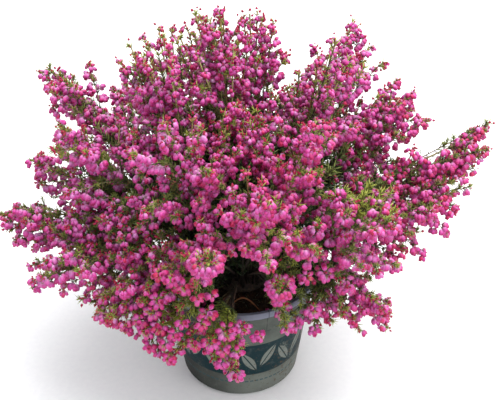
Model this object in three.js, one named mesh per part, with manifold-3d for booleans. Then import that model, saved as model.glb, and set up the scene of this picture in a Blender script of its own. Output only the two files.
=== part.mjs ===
// Potted cape heath: a nursery pot filled with compost, and in it a low woody crown that
// carries stems, each ending in a spray of leafy, flowering shoots.
// Millimetres, +Z up. The origin is the middle of the pot's underside and -Y is the front.

import * as THREE from "three";
import { mergeVertices } from "three/addons/utils/BufferGeometryUtils.js";
import Module from "manifold-3d";

const wasm = await Module();
wasm.setup();

// Pot: a tapered plastic pot with a stepped lip and holes round its flat base.
const POT_HEIGHT = 95;
const RIM_RADIUS = 60;
const BASE_RADIUS = 45.5;
const BASE_ROUNDING = 4.5;
const LIP_HEIGHT = 5.5;
const LIP_STEP = 1.7;
const LIP_SLOPE = 1;
const RIM_ROUNDING = 0.8;
const WALL = 1.4;
const POT_SIDES = 48;
const DRAIN_HOLES = 6;
const DRAIN_RADIUS = 3.5;
const DRAIN_RING_RADIUS = 33;
const DRAIN_SIDES = 12;
const CUT_OVERSHOOT = 2;

// Compost: fills the pot to below the rim and is mounded in the middle.
const SOIL_EDGE_HEIGHT = 82;
const SOIL_TOP_HEIGHT = 86;
const SOIL_FLAT_RADIUS = 26;
const SOIL_SIDES = 36;
const FIT_GAP = 0.4;

// Crown: the low woody dome where the stems part, sitting on the compost.
const CROWN_RADIUS = 24;
const CROWN_HEIGHT = 12;
const CROWN_SIDES = 24;
const CROWN_ROWS = 6;

// Stems: where their feet stand on the crown, and how they leave it.
const FEET_RADIUS = 20;
const FEET_SPREAD = 0.6;
const FOOT_GAP = 0.9;
const STEM_RADIUS = 1.3;
const STEM_SIDES = 6;
const STEM_STEPS = 9;
const LEAST_START_RISE = 42;
const START_RISE_BLEND = 6;
const LEAD = 0.42;
const DROOP_LEAD = 0.2;
const DROOP_RANGE = 60;

// Sprays: from the end of the bare stem to the tip of the shoot.
const SPRAY_START = 0.36;
const SPRAY_GAP = 1.2;
const SPRAY_SIDES = 10;
const SPRAY_ROWS = 9;
const WIDEST_AT = 0.58;
const OPENING_POWER = 0.9;
const CLOSING_POWER = 0.8;
const LOBES = 3;
const LOBE_DEPTH = 0.08;
const LEAST_RADIUS = 1.5;
const TRIM_STEP = 0.5;
const POT_CLEARANCE = 3;
const FLOOR_CLEARANCE = 12;
const PATH_SAMPLES = 24;

// Each shoot: the bearing of its tip round the pot and its rise from the crown in degrees
// (bearing 0 is to the right, -90 to the front), its length and its greatest half width.
const SHOOTS = [
  // The crest.
  { bearing: 125, rise: 84, length: 208, width: 38 },
  { bearing: 65, rise: 76, length: 189, width: 38 },
  { bearing: 170, rise: 67, length: 190, width: 44 },
  { bearing: 8, rise: 66, length: 192, width: 44 },
  { bearing: 42, rise: 54, length: 206, width: 42 },
  { bearing: 102, rise: 55, length: 194, width: 52 },
  { bearing: -125, rise: 64, length: 188, width: 52 },
  { bearing: -52, rise: 64, length: 186, width: 52 },
  // The shoulders.
  { bearing: 19, rise: 43, length: 190, width: 44 },
  { bearing: 2, rise: 33, length: 214, width: 38 },
  { bearing: 156, rise: 41, length: 211, width: 44 },
  { bearing: 175, rise: 29, length: 180, width: 40 },
  { bearing: -171, rise: 48, length: 188, width: 44 },
  { bearing: -101, rise: 38, length: 146, width: 44 },
  { bearing: -80, rise: 50, length: 178, width: 48 },
  { bearing: -40, rise: 38, length: 172, width: 50 },
  { bearing: 62, rise: 29, length: 184, width: 54 },
  { bearing: 95, rise: 19, length: 176, width: 54 },
  { bearing: 127, rise: 29, length: 186, width: 54 },
  // The sides.
  { bearing: -5, rise: 22, length: 173, width: 42 },
  { bearing: -175, rise: 18, length: 185, width: 42 },
  { bearing: -157, rise: 9, length: 162, width: 44 },
  { bearing: -31, rise: 2, length: 128, width: 40 },
  { bearing: 38, rise: 5, length: 152, width: 50 },
  { bearing: 146, rise: 5, length: 156, width: 50 },
  // The low shoots that lean over the rim.
  { bearing: -141, rise: 4, length: 124, width: 36 },
  { bearing: -71, rise: 29, length: 107, width: 28 },
  { bearing: -95, rise: -20, length: 93, width: 28 },
];

const PLASTIC = { color: 0x7b807c, roughness: 0.55, metalness: 0 };
const COMPOST = { color: 0x241a13, roughness: 0.95, metalness: 0 };
const BARK = { color: 0x5b4632, roughness: 0.85, metalness: 0 };
const BLOOM = { color: 0xb8407f, roughness: 0.6, metalness: 0 };

function radians(degrees) {
  return THREE.MathUtils.degToRad(degrees);
}

function named(name, geometry, finish) {
  const mesh = new THREE.Mesh(geometry, new THREE.MeshStandardMaterial(finish));
  mesh.name = name;
  return mesh;
}

function numbered(kind, index) {
  return `${kind}_${String(index + 1).padStart(2, "0")}`;
}

// A closed mesh with shared corners, from any geometry.
function welded(geometry) {
  const bare = geometry.clone();
  bare.deleteAttribute("normal");
  bare.deleteAttribute("uv");
  return mergeVertices(bare, 1e-4);
}

function toSolid(geometry) {
  const closed = welded(geometry);
  const vertProperties = new Float32Array(closed.attributes.position.array);
  const triVerts = new Uint32Array(closed.index.array);
  return new wasm.Manifold(new wasm.Mesh({ numProp: 3, vertProperties, triVerts }));
}

function toGeometry(solid) {
  const mesh = solid.getMesh();
  const geometry = new THREE.BufferGeometry();
  const corners = new Float32Array(mesh.vertProperties);
  geometry.setAttribute("position", new THREE.BufferAttribute(corners, 3));
  geometry.setIndex(new THREE.BufferAttribute(new Uint32Array(mesh.triVerts), 1));
  return geometry;
}

// A profile of [radius, height] points turned round the upright axis.
function turned(profile, sides) {
  const points = profile.map(([radius, height]) => new THREE.Vector2(radius, height));
  return new THREE.LatheGeometry(points, sides).rotateX(Math.PI / 2);
}

// Points of a quarter ellipse in the profile, from one angle to another.
function arc(centreRadius, centreHeight, across, up, from, to, steps) {
  const points = [];
  for (let i = 0; i <= steps; i += 1) {
    const angle = radians(from + ((to - from) * i) / steps);
    points.push([centreRadius + across * Math.cos(angle), centreHeight + up * Math.sin(angle)]);
  }
  return points;
}

// The outer wall's radius at a height, from the rounded base to under the lip.
function wallRadius(height) {
  const top = RIM_RADIUS - LIP_STEP;
  return BASE_RADIUS + ((top - BASE_RADIUS) * height) / POT_HEIGHT;
}

function makePot() {
  const lipFoot = POT_HEIGHT - LIP_HEIGHT;
  const corner = wallRadius(BASE_ROUNDING);
  const outer = [
    [0, 0],
    ...arc(corner - BASE_ROUNDING, BASE_ROUNDING, BASE_ROUNDING, BASE_ROUNDING, -90, 0, 4),
    [wallRadius(lipFoot - LIP_SLOPE), lipFoot - LIP_SLOPE],
    [RIM_RADIUS - LIP_SLOPE / 2, lipFoot],
    ...arc(RIM_RADIUS - RIM_ROUNDING, POT_HEIGHT - RIM_ROUNDING, RIM_ROUNDING, RIM_ROUNDING, 0, 90, 2),
  ];
  const inner = [
    [wallRadius(POT_HEIGHT) - WALL, POT_HEIGHT - RIM_ROUNDING],
    [corner - WALL, BASE_ROUNDING],
    [corner - BASE_ROUNDING, WALL],
    [0, WALL],
  ];
  let pot = toSolid(turned([...outer, ...inner], POT_SIDES));
  for (let i = 0; i < DRAIN_HOLES; i += 1) {
    const turn = (2 * Math.PI * i) / DRAIN_HOLES;
    const depth = WALL + 2 * CUT_OVERSHOOT;
    const drill = new THREE.CylinderGeometry(DRAIN_RADIUS, DRAIN_RADIUS, depth, DRAIN_SIDES);
    drill.rotateX(Math.PI / 2);
    drill.translate(
      DRAIN_RING_RADIUS * Math.cos(turn),
      DRAIN_RING_RADIUS * Math.sin(turn),
      WALL / 2,
    );
    pot = pot.subtract(toSolid(drill));
  }
  return named("pot", toGeometry(pot), PLASTIC);
}

function makeSoil() {
  const foot = WALL + FIT_GAP;
  const corner = wallRadius(BASE_ROUNDING);
  const profile = [
    [0, foot],
    [corner - BASE_ROUNDING - FIT_GAP, foot],
    [corner - WALL - FIT_GAP, BASE_ROUNDING + FIT_GAP],
    [wallRadius(SOIL_EDGE_HEIGHT) - WALL - 2 * FIT_GAP, SOIL_EDGE_HEIGHT],
    [(wallRadius(SOIL_EDGE_HEIGHT) + SOIL_FLAT_RADIUS) / 2, SOIL_EDGE_HEIGHT + 1],
    [SOIL_FLAT_RADIUS, SOIL_TOP_HEIGHT],
    [0, SOIL_TOP_HEIGHT],
  ];
  return named("soil", turned(profile, SOIL_SIDES), COMPOST);
}

function makeCrown() {
  const foot = SOIL_TOP_HEIGHT + FIT_GAP;
  const dome = arc(0, foot, CROWN_RADIUS, CROWN_HEIGHT, 0, 90, CROWN_ROWS).slice(0, -1);
  const profile = [[0, foot], ...dome, [0, foot + CROWN_HEIGHT]];
  return named("crown", turned(profile, CROWN_SIDES), BARK);
}

// A shoot's line: a curve in the upright plane of its bearing, from its foot on the crown to
// its tip. It leaves the crown at least as steeply as LEAST_START_RISE, so low shoots arch.
function shootLine({ bearing, rise, length }) {
  const out = new THREE.Vector3(Math.cos(radians(bearing)), Math.sin(radians(bearing)), 0);
  const up = new THREE.Vector3(0, 0, 1);
  const halfGap = (rise - LEAST_START_RISE) / 2;
  const startRise = (rise + LEAST_START_RISE) / 2 + Math.hypot(halfGap, START_RISE_BLEND);
  const start = out.clone().multiplyScalar(Math.cos(radians(startRise)));
  start.addScaledVector(up, Math.sin(radians(startRise)));

  const footRadius = FEET_RADIUS * (1 - rise / 90) ** FEET_SPREAD;
  const footReach = Math.min(footRadius, FEET_RADIUS);
  const dome = CROWN_HEIGHT * Math.sqrt(1 - (footReach / CROWN_RADIUS) ** 2);
  const foot = out.clone().multiplyScalar(footReach);
  foot.addScaledVector(up, SOIL_TOP_HEIGHT + FIT_GAP + dome);
  foot.addScaledVector(start, FOOT_GAP);

  const tip = out.clone().multiplyScalar(length * Math.cos(radians(rise)));
  tip.addScaledVector(up, POT_HEIGHT + length * Math.sin(radians(rise)));
  const lead = length * (LEAD + (DROOP_LEAD * (startRise - rise)) / DROOP_RANGE);
  const bend = foot.clone().addScaledVector(start, lead);
  const curve = new THREE.QuadraticBezierCurve3(foot, bend, tip);
  const side = new THREE.Vector3().crossVectors(up, out);
  return { curve, side, samples: curve.getPoints(PATH_SAMPLES) };
}

// The stretch of a curve between two of its parameters.
function stretch(curve, from, to, steps) {
  const points = [];
  for (let i = 0; i <= steps; i += 1) {
    points.push(curve.getPoint(from + ((to - from) * i) / steps));
  }
  return new THREE.CatmullRomCurve3(points);
}

function makeStem(index, line) {
  const section = new THREE.Shape();
  for (let i = 0; i < STEM_SIDES; i += 1) {
    const angle = (2 * Math.PI * i) / STEM_SIDES;
    const corner = [STEM_RADIUS * Math.cos(angle), STEM_RADIUS * Math.sin(angle)];
    if (i === 0) section.moveTo(...corner);
    else section.lineTo(...corner);
  }
  section.closePath();
  const extrudePath = stretch(line.curve, 0, SPRAY_START, STEM_STEPS);
  const geometry = new THREE.ExtrudeGeometry(section, { extrudePath, steps: STEM_STEPS });
  return named(numbered("stem", index), geometry, BARK);
}

// How wide a spray grows along its length, as a share of its greatest half width: it opens in
// a round curve up to WIDEST_AT and closes to the tip like a flame.
function plume(along) {
  if (along < WIDEST_AT) {
    return Math.sin((Math.PI / 2) * (along / WIDEST_AT)) ** OPENING_POWER;
  }
  const closed = (along - WIDEST_AT) / (1 - WIDEST_AT);
  return Math.cos((Math.PI / 2) * Math.min(closed, 1)) ** CLOSING_POWER;
}

// The room that a spray has in one direction: up to halfway to any neighbour's line.
function roomTowards(lines, own, centre, direction, wanted) {
  let room = wanted;
  for (const line of lines) {
    if (line === own) continue;
    for (const point of line.samples) {
      const across = point.clone().sub(centre);
      const towards = across.dot(direction);
      if (towards > 0) room = Math.min(room, across.lengthSq() / (2 * towards) - SPRAY_GAP);
    }
  }
  return room;
}

function clearOfPot(point) {
  const overPot = Math.hypot(point.x, point.y) < RIM_RADIUS + POT_CLEARANCE;
  return point.z > (overPot ? POT_HEIGHT + POT_CLEARANCE : FLOOR_CLEARANCE);
}

// A spray's outline: a ball whose rows are laid along the shoot's line, each corner pushed
// out to the plume's width or to the room that the neighbours and the pot leave.
function makeSpray(index, lines, shoot) {
  const own = lines[index];
  const geometry = welded(new THREE.SphereGeometry(1, SPRAY_SIDES, SPRAY_ROWS));
  const corners = geometry.attributes.position;
  const place = new THREE.Vector3();
  for (let i = 0; i < corners.count; i += 1) {
    place.fromBufferAttribute(corners, i);
    const along = Math.acos(THREE.MathUtils.clamp(-place.y, -1, 1)) / Math.PI;
    const round = Math.atan2(place.z, place.x);
    const start = SPRAY_START + FIT_GAP / shoot.length;
    const at = start + (1 - start) * along;
    const centre = own.curve.getPoint(at);
    const tangent = own.curve.getTangent(at);
    const other = new THREE.Vector3().crossVectors(tangent, own.side);
    const direction = own.side.clone().multiplyScalar(Math.cos(round));
    direction.addScaledVector(other, -Math.sin(round));
    const lobe = 1 + LOBE_DEPTH * Math.cos(LOBES * round + index);
    const wanted = shoot.width * plume(along) * lobe;
    let radius = roomTowards(lines, own, centre, direction, wanted);
    const corner = centre.clone().addScaledVector(direction, radius);
    while (radius > LEAST_RADIUS && !clearOfPot(corner)) {
      radius -= TRIM_STEP;
      corner.addScaledVector(direction, -TRIM_STEP);
    }
    corners.setXYZ(i, corner.x, corner.y, corner.z);
  }
  return named(numbered("spray", index), geometry, BLOOM);
}

const lines = SHOOTS.map(shootLine);

const plant = new THREE.Group();
plant.add(makePot());
plant.add(makeSoil());
plant.add(makeCrown());
SHOOTS.forEach((shoot, index) => {
  plant.add(makeStem(index, lines[index]));
  plant.add(makeSpray(index, lines, shoot));
});

export default plant;
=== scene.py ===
"""The looks of a potted cape heath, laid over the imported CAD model.

Lengths are millimetres in all the maths here and become metres as a mesh is made. +Z is up,
the origin is the middle of the pot's underside and -Y is the front. Bearings are degrees round
the pot: 0 is to the right and -90 is the front.
"""

import logging
import math
from collections.abc import Callable
from dataclasses import dataclass, replace
from enum import Enum

import bpy
import numpy as np
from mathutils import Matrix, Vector


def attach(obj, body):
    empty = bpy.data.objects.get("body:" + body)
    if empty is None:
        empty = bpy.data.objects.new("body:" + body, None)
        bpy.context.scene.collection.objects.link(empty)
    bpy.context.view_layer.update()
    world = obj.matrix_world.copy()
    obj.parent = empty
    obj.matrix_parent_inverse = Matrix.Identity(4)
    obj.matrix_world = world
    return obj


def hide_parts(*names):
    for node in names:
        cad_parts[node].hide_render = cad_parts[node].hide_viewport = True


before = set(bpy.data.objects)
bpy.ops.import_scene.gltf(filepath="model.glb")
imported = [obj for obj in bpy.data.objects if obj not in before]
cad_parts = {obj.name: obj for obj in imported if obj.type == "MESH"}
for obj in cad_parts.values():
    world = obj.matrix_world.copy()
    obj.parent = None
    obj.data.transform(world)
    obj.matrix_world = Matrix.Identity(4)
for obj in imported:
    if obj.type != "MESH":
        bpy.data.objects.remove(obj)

Array = np.ndarray
Rng = np.random.Generator
Material = bpy.types.Material
LOG = logging.getLogger("potted_cape_heath")
MM = 0.001
BODY = "root"
UV_MAP = "OFBake"
GOLDEN_ANGLE = math.radians(137.508)
FULL_TURN = 2 * np.pi
UP = np.array([0.0, 0.0, 1.0])
LEVEL = np.array([1.0, 1.0, 0.0])
BUSH_CENTRE = np.array([0.0, 0.0, 95.0])
TONES = 24


class Slot(Enum):
    """The record's material slots."""

    PLASTIC = "pot_plastic"
    COMPOST = "compost"
    BARK = "bark"
    FOLIAGE = "foliage"
    BLOOM = "bloom"


# Colour and node maths.


def linear(code: str) -> tuple[float, float, float, float]:
    """Turns an sRGB hex colour into the linear colour that a shader takes.

    Args:
        code: six hex digits, such as "c84696".

    Returns:
        Red, green, blue and an alpha of 1.
    """
    shares = [int(code[at : at + 2], 16) / 255 for at in (0, 2, 4)]
    values = [s / 12.92 if s <= 0.04045 else ((s + 0.055) / 1.055) ** 2.4 for s in shares]
    return (*values, 1.0)


class Kind(Enum):
    """Kinds of node: the type, the sockets that inputs fill in order, the output and settings.

    A maths node is given by its operation alone.
    """

    PLACE = ("TexCoord", (), "Object", {})
    LAYER = ("UVMap", (), "UV", {"uv_map": UV_MAP})
    FIRST = ("SeparateXYZ", (0,), 0, {})
    SECOND = ("SeparateXYZ", (0,), 1, {})
    THIRD = ("SeparateXYZ", (0,), 2, {})
    SUM = "ADD"
    DIFFERENCE = "SUBTRACT"
    PRODUCT = "MULTIPLY"
    QUOTIENT = "DIVIDE"
    LARGER = "MAXIMUM"
    POWER = "POWER"
    MODULO = "FLOORED_MODULO"
    BEARING = "ARCTAN2"
    ROOT = "SQRT"
    FLOOR = "FLOOR"
    FRACTION = "FRACT"
    AMOUNT = "ABSOLUTE"
    SINE = "SINE"
    # Rises smoothly from 0 at the second input to 1 at the third, or falls where they run down.
    STEP = ("MapRange", (0, 1, 2), 0, {"interpolation_type": "SMOOTHSTEP"})
    NOISE = ("TexNoise", ("Vector", "Scale", "Detail", "Roughness"), 0, {})
    RAMP = ("ValToRGB", (0,), 0, {})
    # All the second input where the first is 0, and all the third where it is 1.
    MIX = ("Mix", (0, 6, 7), 2, {"data_type": "RGBA"})
    RELIEF = ("Bump", ("Height", "Distance"), 0, {})
    SHADER = ("BsdfPrincipled", ("Base Color", "Roughness"), 0, {})
    SURFACE = ("OutputMaterial", ("Surface",), None, {})
    SKY = ("Background", ("Color", "Strength"), 0, {})
    WORLD = ("OutputWorld", ("Surface",), None, {})


def between(kind: Kind) -> Callable[["Signal", "Signal | float"], "Signal"]:
    """An operator between a signal and another signal or a number."""
    return lambda self, other: self.paint.add(kind, self, other)


@dataclass(frozen=True)
class Signal:
    """What a socket carries, so that a material's maths reads as arithmetic."""

    paint: "Painter"
    socket: bpy.types.NodeSocket | None
    __add__ = between(Kind.SUM)
    __sub__ = between(Kind.DIFFERENCE)
    __mul__ = between(Kind.PRODUCT)
    __truediv__ = between(Kind.QUOTIENT)
    __pow__ = between(Kind.POWER)

    def to(self, kind: Kind, *inputs: object, stops: dict[float, str] | None = None) -> "Signal":
        """The output of one more node, whose first input is this signal."""
        return self.paint.add(kind, self, *inputs, stops=stops)

    def coated(self, coats: dict[str, "Signal"]) -> "Signal":
        """This colour under coats, laid one after the other, each where its signal is 1.

        Args:
            coats: each coat's hex colour, and where it covers.

        Returns:
            The colour that shows.
        """
        colour = self
        for code, cover in coats.items():
            colour = cover.to(Kind.MIX, colour, linear(code))
        return colour


@dataclass(frozen=True)
class Painter:
    """Adds nodes to the emptied node tree of a material or a world."""

    owner: Material | bpy.types.World

    def __post_init__(self) -> None:
        """Empties the tree."""
        self.owner.use_nodes = True
        self.owner.node_tree.nodes.clear()

    def add(
        self,
        kind: Kind,
        *inputs: object,
        stops: dict[float, str] | None = None,
        named: dict[str, object] | None = None,
    ) -> Signal:
        """Adds one node with its settings and links.

        Args:
            kind: the kind of node.
            inputs: a signal or a plain value for each of the kind's sockets, in their order.
            stops: where a ramp's colours stand, from 0 to 1, and the colours.
            named: signals or values for more sockets, by name.

        Returns:
            The node's output.
        """
        maths = ("Math", (0, 1), 0, {"operation": kind.value})
        type_name, sockets, output, settings = maths if isinstance(kind.value, str) else kind.value
        tree = self.owner.node_tree
        node = tree.nodes.new("ShaderNode" + type_name)
        for name, value in settings.items():
            setattr(node, name, value)
        for name, value in [*zip(sockets, inputs), *(named or {}).items()]:
            if isinstance(value, Signal):
                tree.links.new(value.socket, node.inputs[name])
            else:
                node.inputs[name].default_value = value
        if stops:
            elements = node.color_ramp.elements
            while len(elements) < len(stops):
                elements.new(0.5)
            for element, (place, code) in zip(elements, sorted(stops.items())):
                element.position = place
                element.color = linear(code)
        return Signal(self, None if output is None else node.outputs[output])

    def aged(self, *stages: dict[float, str]) -> tuple[Signal, Signal, Signal]:
        """Colours that run along a small shape and change with its tone.

        Args:
            stages: the ramps for a tone of 0, 0.5 and 1, from the shape's foot to its end.

        Returns:
            The colour, the tone and the place along the shape.
        """
        layer = self.add(Kind.LAYER)
        tone, along = layer.to(Kind.FIRST), layer.to(Kind.SECOND)
        first, middle, last = (along.to(Kind.RAMP, stops=stage) for stage in stages)
        colour = tone.to(Kind.STEP, 0.0, 0.5).to(Kind.MIX, first, middle)
        return tone.to(Kind.STEP, 0.5, 1.0).to(Kind.MIX, colour, last), tone, along

    def finish(
        self, colour: Signal, rough: Signal | float, named: dict[str, object], relief: Signal | None = None
    ) -> Material:
        """Joins the shader to the output.

        Args:
            colour: the base colour.
            rough: the roughness.
            named: the shader's other sockets.
            relief: the surface's height in millimetres, if it is uneven.

        Returns:
            The finished material.
        """
        if relief is not None:
            named = {**named, "Normal": (relief * MM).to(Kind.RELIEF, 1.0)}
        self.add(Kind.SHADER, colour, rough, named=named).to(Kind.SURFACE)
        return self.owner


# Finishes, each named for the real material. Noise scales are one over a grain in metres.


@dataclass(frozen=True)
class PrintedPolypropylene:
    """Injection-moulded grey polypropylene, screen printed with a plain leafy band.

    It gives the eye a dull grey wall with dust and next to no shine, a lighter bluish lip that is a
    painted highlight, painted shade in the crease under the lip, painted light that makes the wall
    lighter towards the floor, a worn dark teal band, painted shade down its left side and brown
    specks of soil. Places on the wall are the arc from the front and the height above the floor,
    both in millimetres.
    """

    arc_radius: float = 54.0
    inside_radius: float = 42.0
    lip_at: float = 88.8
    seam_arc: float = 20.0
    seam_foot: float = 73.0
    gate_half: float = 3.6
    band_low: float = 25.0
    band_high: float = 59.0
    leaf_count: int = 22
    leaf_half_length: float = 12.5
    leaf_half_width: float = 4.2
    leaf_cosine: float = 0.86
    leaf_sine: float = 0.5
    leaf_shift: float = 2.0
    line_height: float = 17.0
    dash_count: int = 77

    def leaves(self, arc: Signal, height: Signal) -> Signal:
        """A row of leaf shapes that slant left and right by turns.

        Args:
            arc: arc from the front.
            height: height above the floor.

        Returns:
            1 inside a leaf, 0 outside and on its midrib.
        """
        pitch = 2 * math.pi * self.arc_radius / self.leaf_count
        cell = arc / pitch
        turn = cell.to(Kind.FLOOR).to(Kind.MODULO, 2.0) * 2.0 - 1.0
        across = (cell.to(Kind.FRACTION) - 0.5) * pitch
        up = height - (self.band_low + self.band_high) / 2 - turn * self.leaf_shift
        long_way = across * self.leaf_sine * turn + up * self.leaf_cosine
        aside = (across * self.leaf_cosine - up * self.leaf_sine * turn).to(Kind.AMOUNT)
        inside = (long_way / self.leaf_half_length) ** 2.0 + aside / self.leaf_half_width
        return inside.to(Kind.STEP, 1.0, 0.9) * aside.to(Kind.STEP, 0.35, 0.7)

    def moulded(self, x: Signal, arc: Signal, height: Signal, cloud: Signal) -> Signal:
        """The bare plastic's colour: cloudy grey and the seam, with a painted highlight on the lip,
        painted shade in the crease and down the left, and painted light low on the wall.

        Args:
            x: how far right of the middle, in millimetres.
            arc: arc from the front.
            height: height above the floor.
            cloud: slow noise.

        Returns:
            The colour.
        """
        below_lip, above_seam = height - self.lip_at, height - self.seam_foot
        # Painted shade: how far the left side of the wall is darkened.
        left = (x + cloud * 16.0).to(Kind.STEP, 16.0, -32.0)
        beside_seam = (arc - self.seam_arc).to(Kind.AMOUNT)
        seam = beside_seam.to(Kind.STEP, 0.55, 0.15) * above_seam.to(Kind.STEP, -1.0, 1.0)
        gate = above_seam.to(Kind.AMOUNT).to(Kind.STEP, 0.5, 0.2)
        gate = gate * (beside_seam - self.gate_half).to(Kind.STEP, 0.4, -0.4)
        coats = {
            # Painted highlight: the lip is lighter and bluer than the wall.
            "757886": below_lip.to(Kind.STEP, -0.6, 0.6),
            # Painted shade: a dark band in the crease under the lip.
            "2e2f33": below_lip.to(Kind.STEP, -2.8, -0.2) * below_lip.to(Kind.STEP, 1.2, 0.0) * 0.75,
            # Painted light: the wall grows lighter towards the floor.
            "737770": height.to(Kind.STEP, 34.0, 14.0) * 0.45,
            # Painted shade: the left side of the wall is darkened below the lip.
            "161816": left * below_lip.to(Kind.STEP, -0.8, -4.8) * 0.86,
            "2c2e2e": seam.to(Kind.LARGER, gate) * 0.6,
        }
        return cloud.to(Kind.RAMP, stops={0.3: "434843", 0.5: "50554f", 0.72: "5e635c"}).coated(coats)

    def build(self) -> Material:
        """Makes the material: the plastic, the ink where it isn't worn, then soil and dust.

        Returns:
            The material.
        """
        paint = Painter(bpy.data.materials.new("printed_polypropylene"))
        place = paint.add(Kind.PLACE)
        x, y, height = (place.to(axis) / MM for axis in (Kind.FIRST, Kind.SECOND, Kind.THIRD))
        arc = x.to(Kind.BEARING, y * -1.0) * self.arc_radius
        cloud = place.to(Kind.NOISE, 1 / (22.0 * MM), 4.0, 0.55)
        # The moulded grain and the specks of soil are drawn coarser than life, so that they show.
        grain = place.to(Kind.NOISE, 1 / (1.2 * MM), 2.0, 0.55)
        speck = place.to(Kind.NOISE, 1 / (2.6 * MM), 4.0, 0.7)
        film = place.to(Kind.NOISE, 1 / (6.0 * MM), 5.0, 0.65)
        radius = (x * x + y * y).to(Kind.ROOT)
        outside = (radius - self.inside_radius).to(Kind.STEP, -2.0, 2.0)
        top = (height - self.band_high).to(Kind.STEP, 0.25, -0.25)
        band = top * (height - self.band_low).to(Kind.STEP, -0.25, 0.25)
        ink = band * (cloud + grain * 0.5).to(Kind.STEP, 1.02, 0.9)
        dash = (arc / (2 * math.pi * self.arc_radius / self.dash_count)).to(Kind.FRACTION)
        line = (height - self.line_height).to(Kind.AMOUNT).to(Kind.STEP, 0.95, 0.6)
        soil = (speck + x * 0.002).to(Kind.STEP, 0.61, 0.68)
        coats = {
            "0a262b": ink * outside,
            "2b474c": line * dash.to(Kind.STEP, 0.75, 0.65) * outside * 0.85,
            "6c716a": ink * self.leaves(arc, height) * outside,
            "4d3d2c": soil * height.to(Kind.STEP, 76.0, 30.0) * 0.8,
            "a3a39b": film.to(Kind.STEP, 0.5, 0.85) * 0.12,
        }
        # The plastic with its painted highlight, painted shade and painted light, then ink, soil and dust.
        dusty_with_painted_light = self.moulded(x, arc, height, cloud).coated(coats)
        return paint.finish(dusty_with_painted_light, grain * 0.25 + 0.46, {"Specular IOR Level": 0.12}, grain * 0.12)


@dataclass(frozen=True)
class PeatCompost:
    """Peat compost with bark crumbs: nearly black where damp, brown and matt where dry."""

    def build(self) -> Material:
        """Makes the material.

        Returns:
            The material.
        """
        paint = Painter(bpy.data.materials.new("peat_compost"))
        place = paint.add(Kind.PLACE)
        crumbs = place.to(Kind.NOISE, 1 / (3.0 * MM), 5.0, 0.65)
        fibres = place.to(Kind.NOISE, 1 / (0.9 * MM), 3.0, 0.55)
        browns = {0.3: "120c08", 0.5: "2a1d14", 0.68: "4a3423", 0.8: "6b5138"}
        relief = crumbs * 0.98 + fibres * 0.42
        rough = fibres * 0.2 + 0.78
        return paint.finish(crumbs.to(Kind.RAMP, stops=browns), rough, {"Specular IOR Level": 0.25}, relief)


@dataclass(frozen=True)
class HeathBark:
    """Bark of heath: grey-brown and fissured when old, reddish and then green near the tips."""

    def build(self) -> Material:
        """Makes the material. The UV map's v is the wood's age: 0 oldest, 1 this year's tip.

        Returns:
            The material.
        """
        paint = Painter(bpy.data.materials.new("heath_bark"))
        layer = paint.add(Kind.LAYER)
        fissures = paint.add(Kind.PLACE).to(Kind.NOISE, 1 / (1.5 * MM), 4.0, 0.6)
        old = fissures.to(Kind.RAMP, stops={0.3: "1e1611", 0.5: "352820", 0.72: "5a4836"})
        young = layer.to(Kind.FIRST).to(Kind.RAMP, stops={0.0: "84502f", 0.5: "a08a58", 1.0: "b0a870"})
        colour = layer.to(Kind.SECOND).to(Kind.STEP, 0.25, 0.85).to(Kind.MIX, old, young)
        return paint.finish(colour, fissures * 0.2 + 0.66, {}, fissures * 0.4)


@dataclass(frozen=True)
class HeathPetal:
    """Thin waxy petals: a pale calyx end, a magenta body and a deep mouth.

    The UV map's v runs from the calyx at 0 to the mouth at 1, and u holds the flower's tone, from
    a deep late flower at 0 to a faded lavender one at 1. The pale calyx end is partly the flower's
    own colour and partly a painted highlight on the top of the hanging bell, and the deep mouth is
    partly its own colour and partly painted shade.
    """

    def build(self) -> Material:
        """Makes the material.

        Returns:
            The material.
        """
        paint = Painter(bpy.data.materials.new("heath_petal"))
        # Each ramp's pale start is partly a painted highlight and its deep end partly painted shade.
        colour, tone, _ = paint.aged(
            {0.0: "d0708f", 0.35: "c63d6c", 0.75: "b62250", 1.0: "9c1a3c"},
            {0.0: "d69ec4", 0.35: "cc5fa8", 0.72: "c43d8e", 1.0: "b02764"},
            {0.0: "dcbad6", 0.35: "d08abe", 0.75: "c66aae", 1.0: "b04286"},
        )
        ribs = (tone * (TONES * 2 * math.pi * 2)).to(Kind.SINE)
        wax = {
            "IOR": 1.42,
            "Specular IOR Level": 0.3,
            "Sheen Weight": 0.05,
            "Subsurface Weight": 0.3,
            "Subsurface Radius": (1.0, 0.4, 0.6),
            "Subsurface Scale": 0.0012,
        }
        return paint.finish(colour, ribs * 0.05 + 0.42, wax)


@dataclass(frozen=True)
class HeathNeedle:
    """Needle leaves: dark green inside the bush, which is painted shade, olive outside and
    yellow-green when young.

    The UV map's v runs from the leaf's base to its tip and u holds its tone.
    """

    def build(self) -> Material:
        """Makes the material.

        Returns:
            The material.
        """
        paint = Painter(bpy.data.materials.new("heath_needle"))
        # The darkest ramp is mostly painted shade, for the needles deep in the bush.
        colour, _, along = paint.aged(
            {0.0: "1c2a12", 0.6: "2d421c", 1.0: "47592a"},
            {0.0: "465420", 0.6: "768234", 1.0: "9ca24e"},
            {0.0: "7a8a2c", 0.6: "a4ac3e", 1.0: "c3c55a"},
        )
        return paint.finish(colour, along * 0.15 + 0.42, {"IOR": 1.45, "Sheen Weight": 0.05})


@dataclass(frozen=True)
class PaperSweep:
    """Matt studio paper: one pale, even sweep with the faintest grain."""

    def build(self) -> Material:
        """Makes the material.

        Returns:
            The material.
        """
        paint = Painter(bpy.data.materials.new("paper_sweep"))
        grain = paint.add(Kind.PLACE).to(Kind.NOISE, 1 / (4.0 * MM), 3.0, 0.55)
        colour = grain.to(Kind.RAMP, stops={0.3: "ececec", 0.7: "f0f0ef"})
        return paint.finish(colour, 0.9, {"Specular IOR Level": 0.1})


# Directions and numbers that many pieces share.


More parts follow.
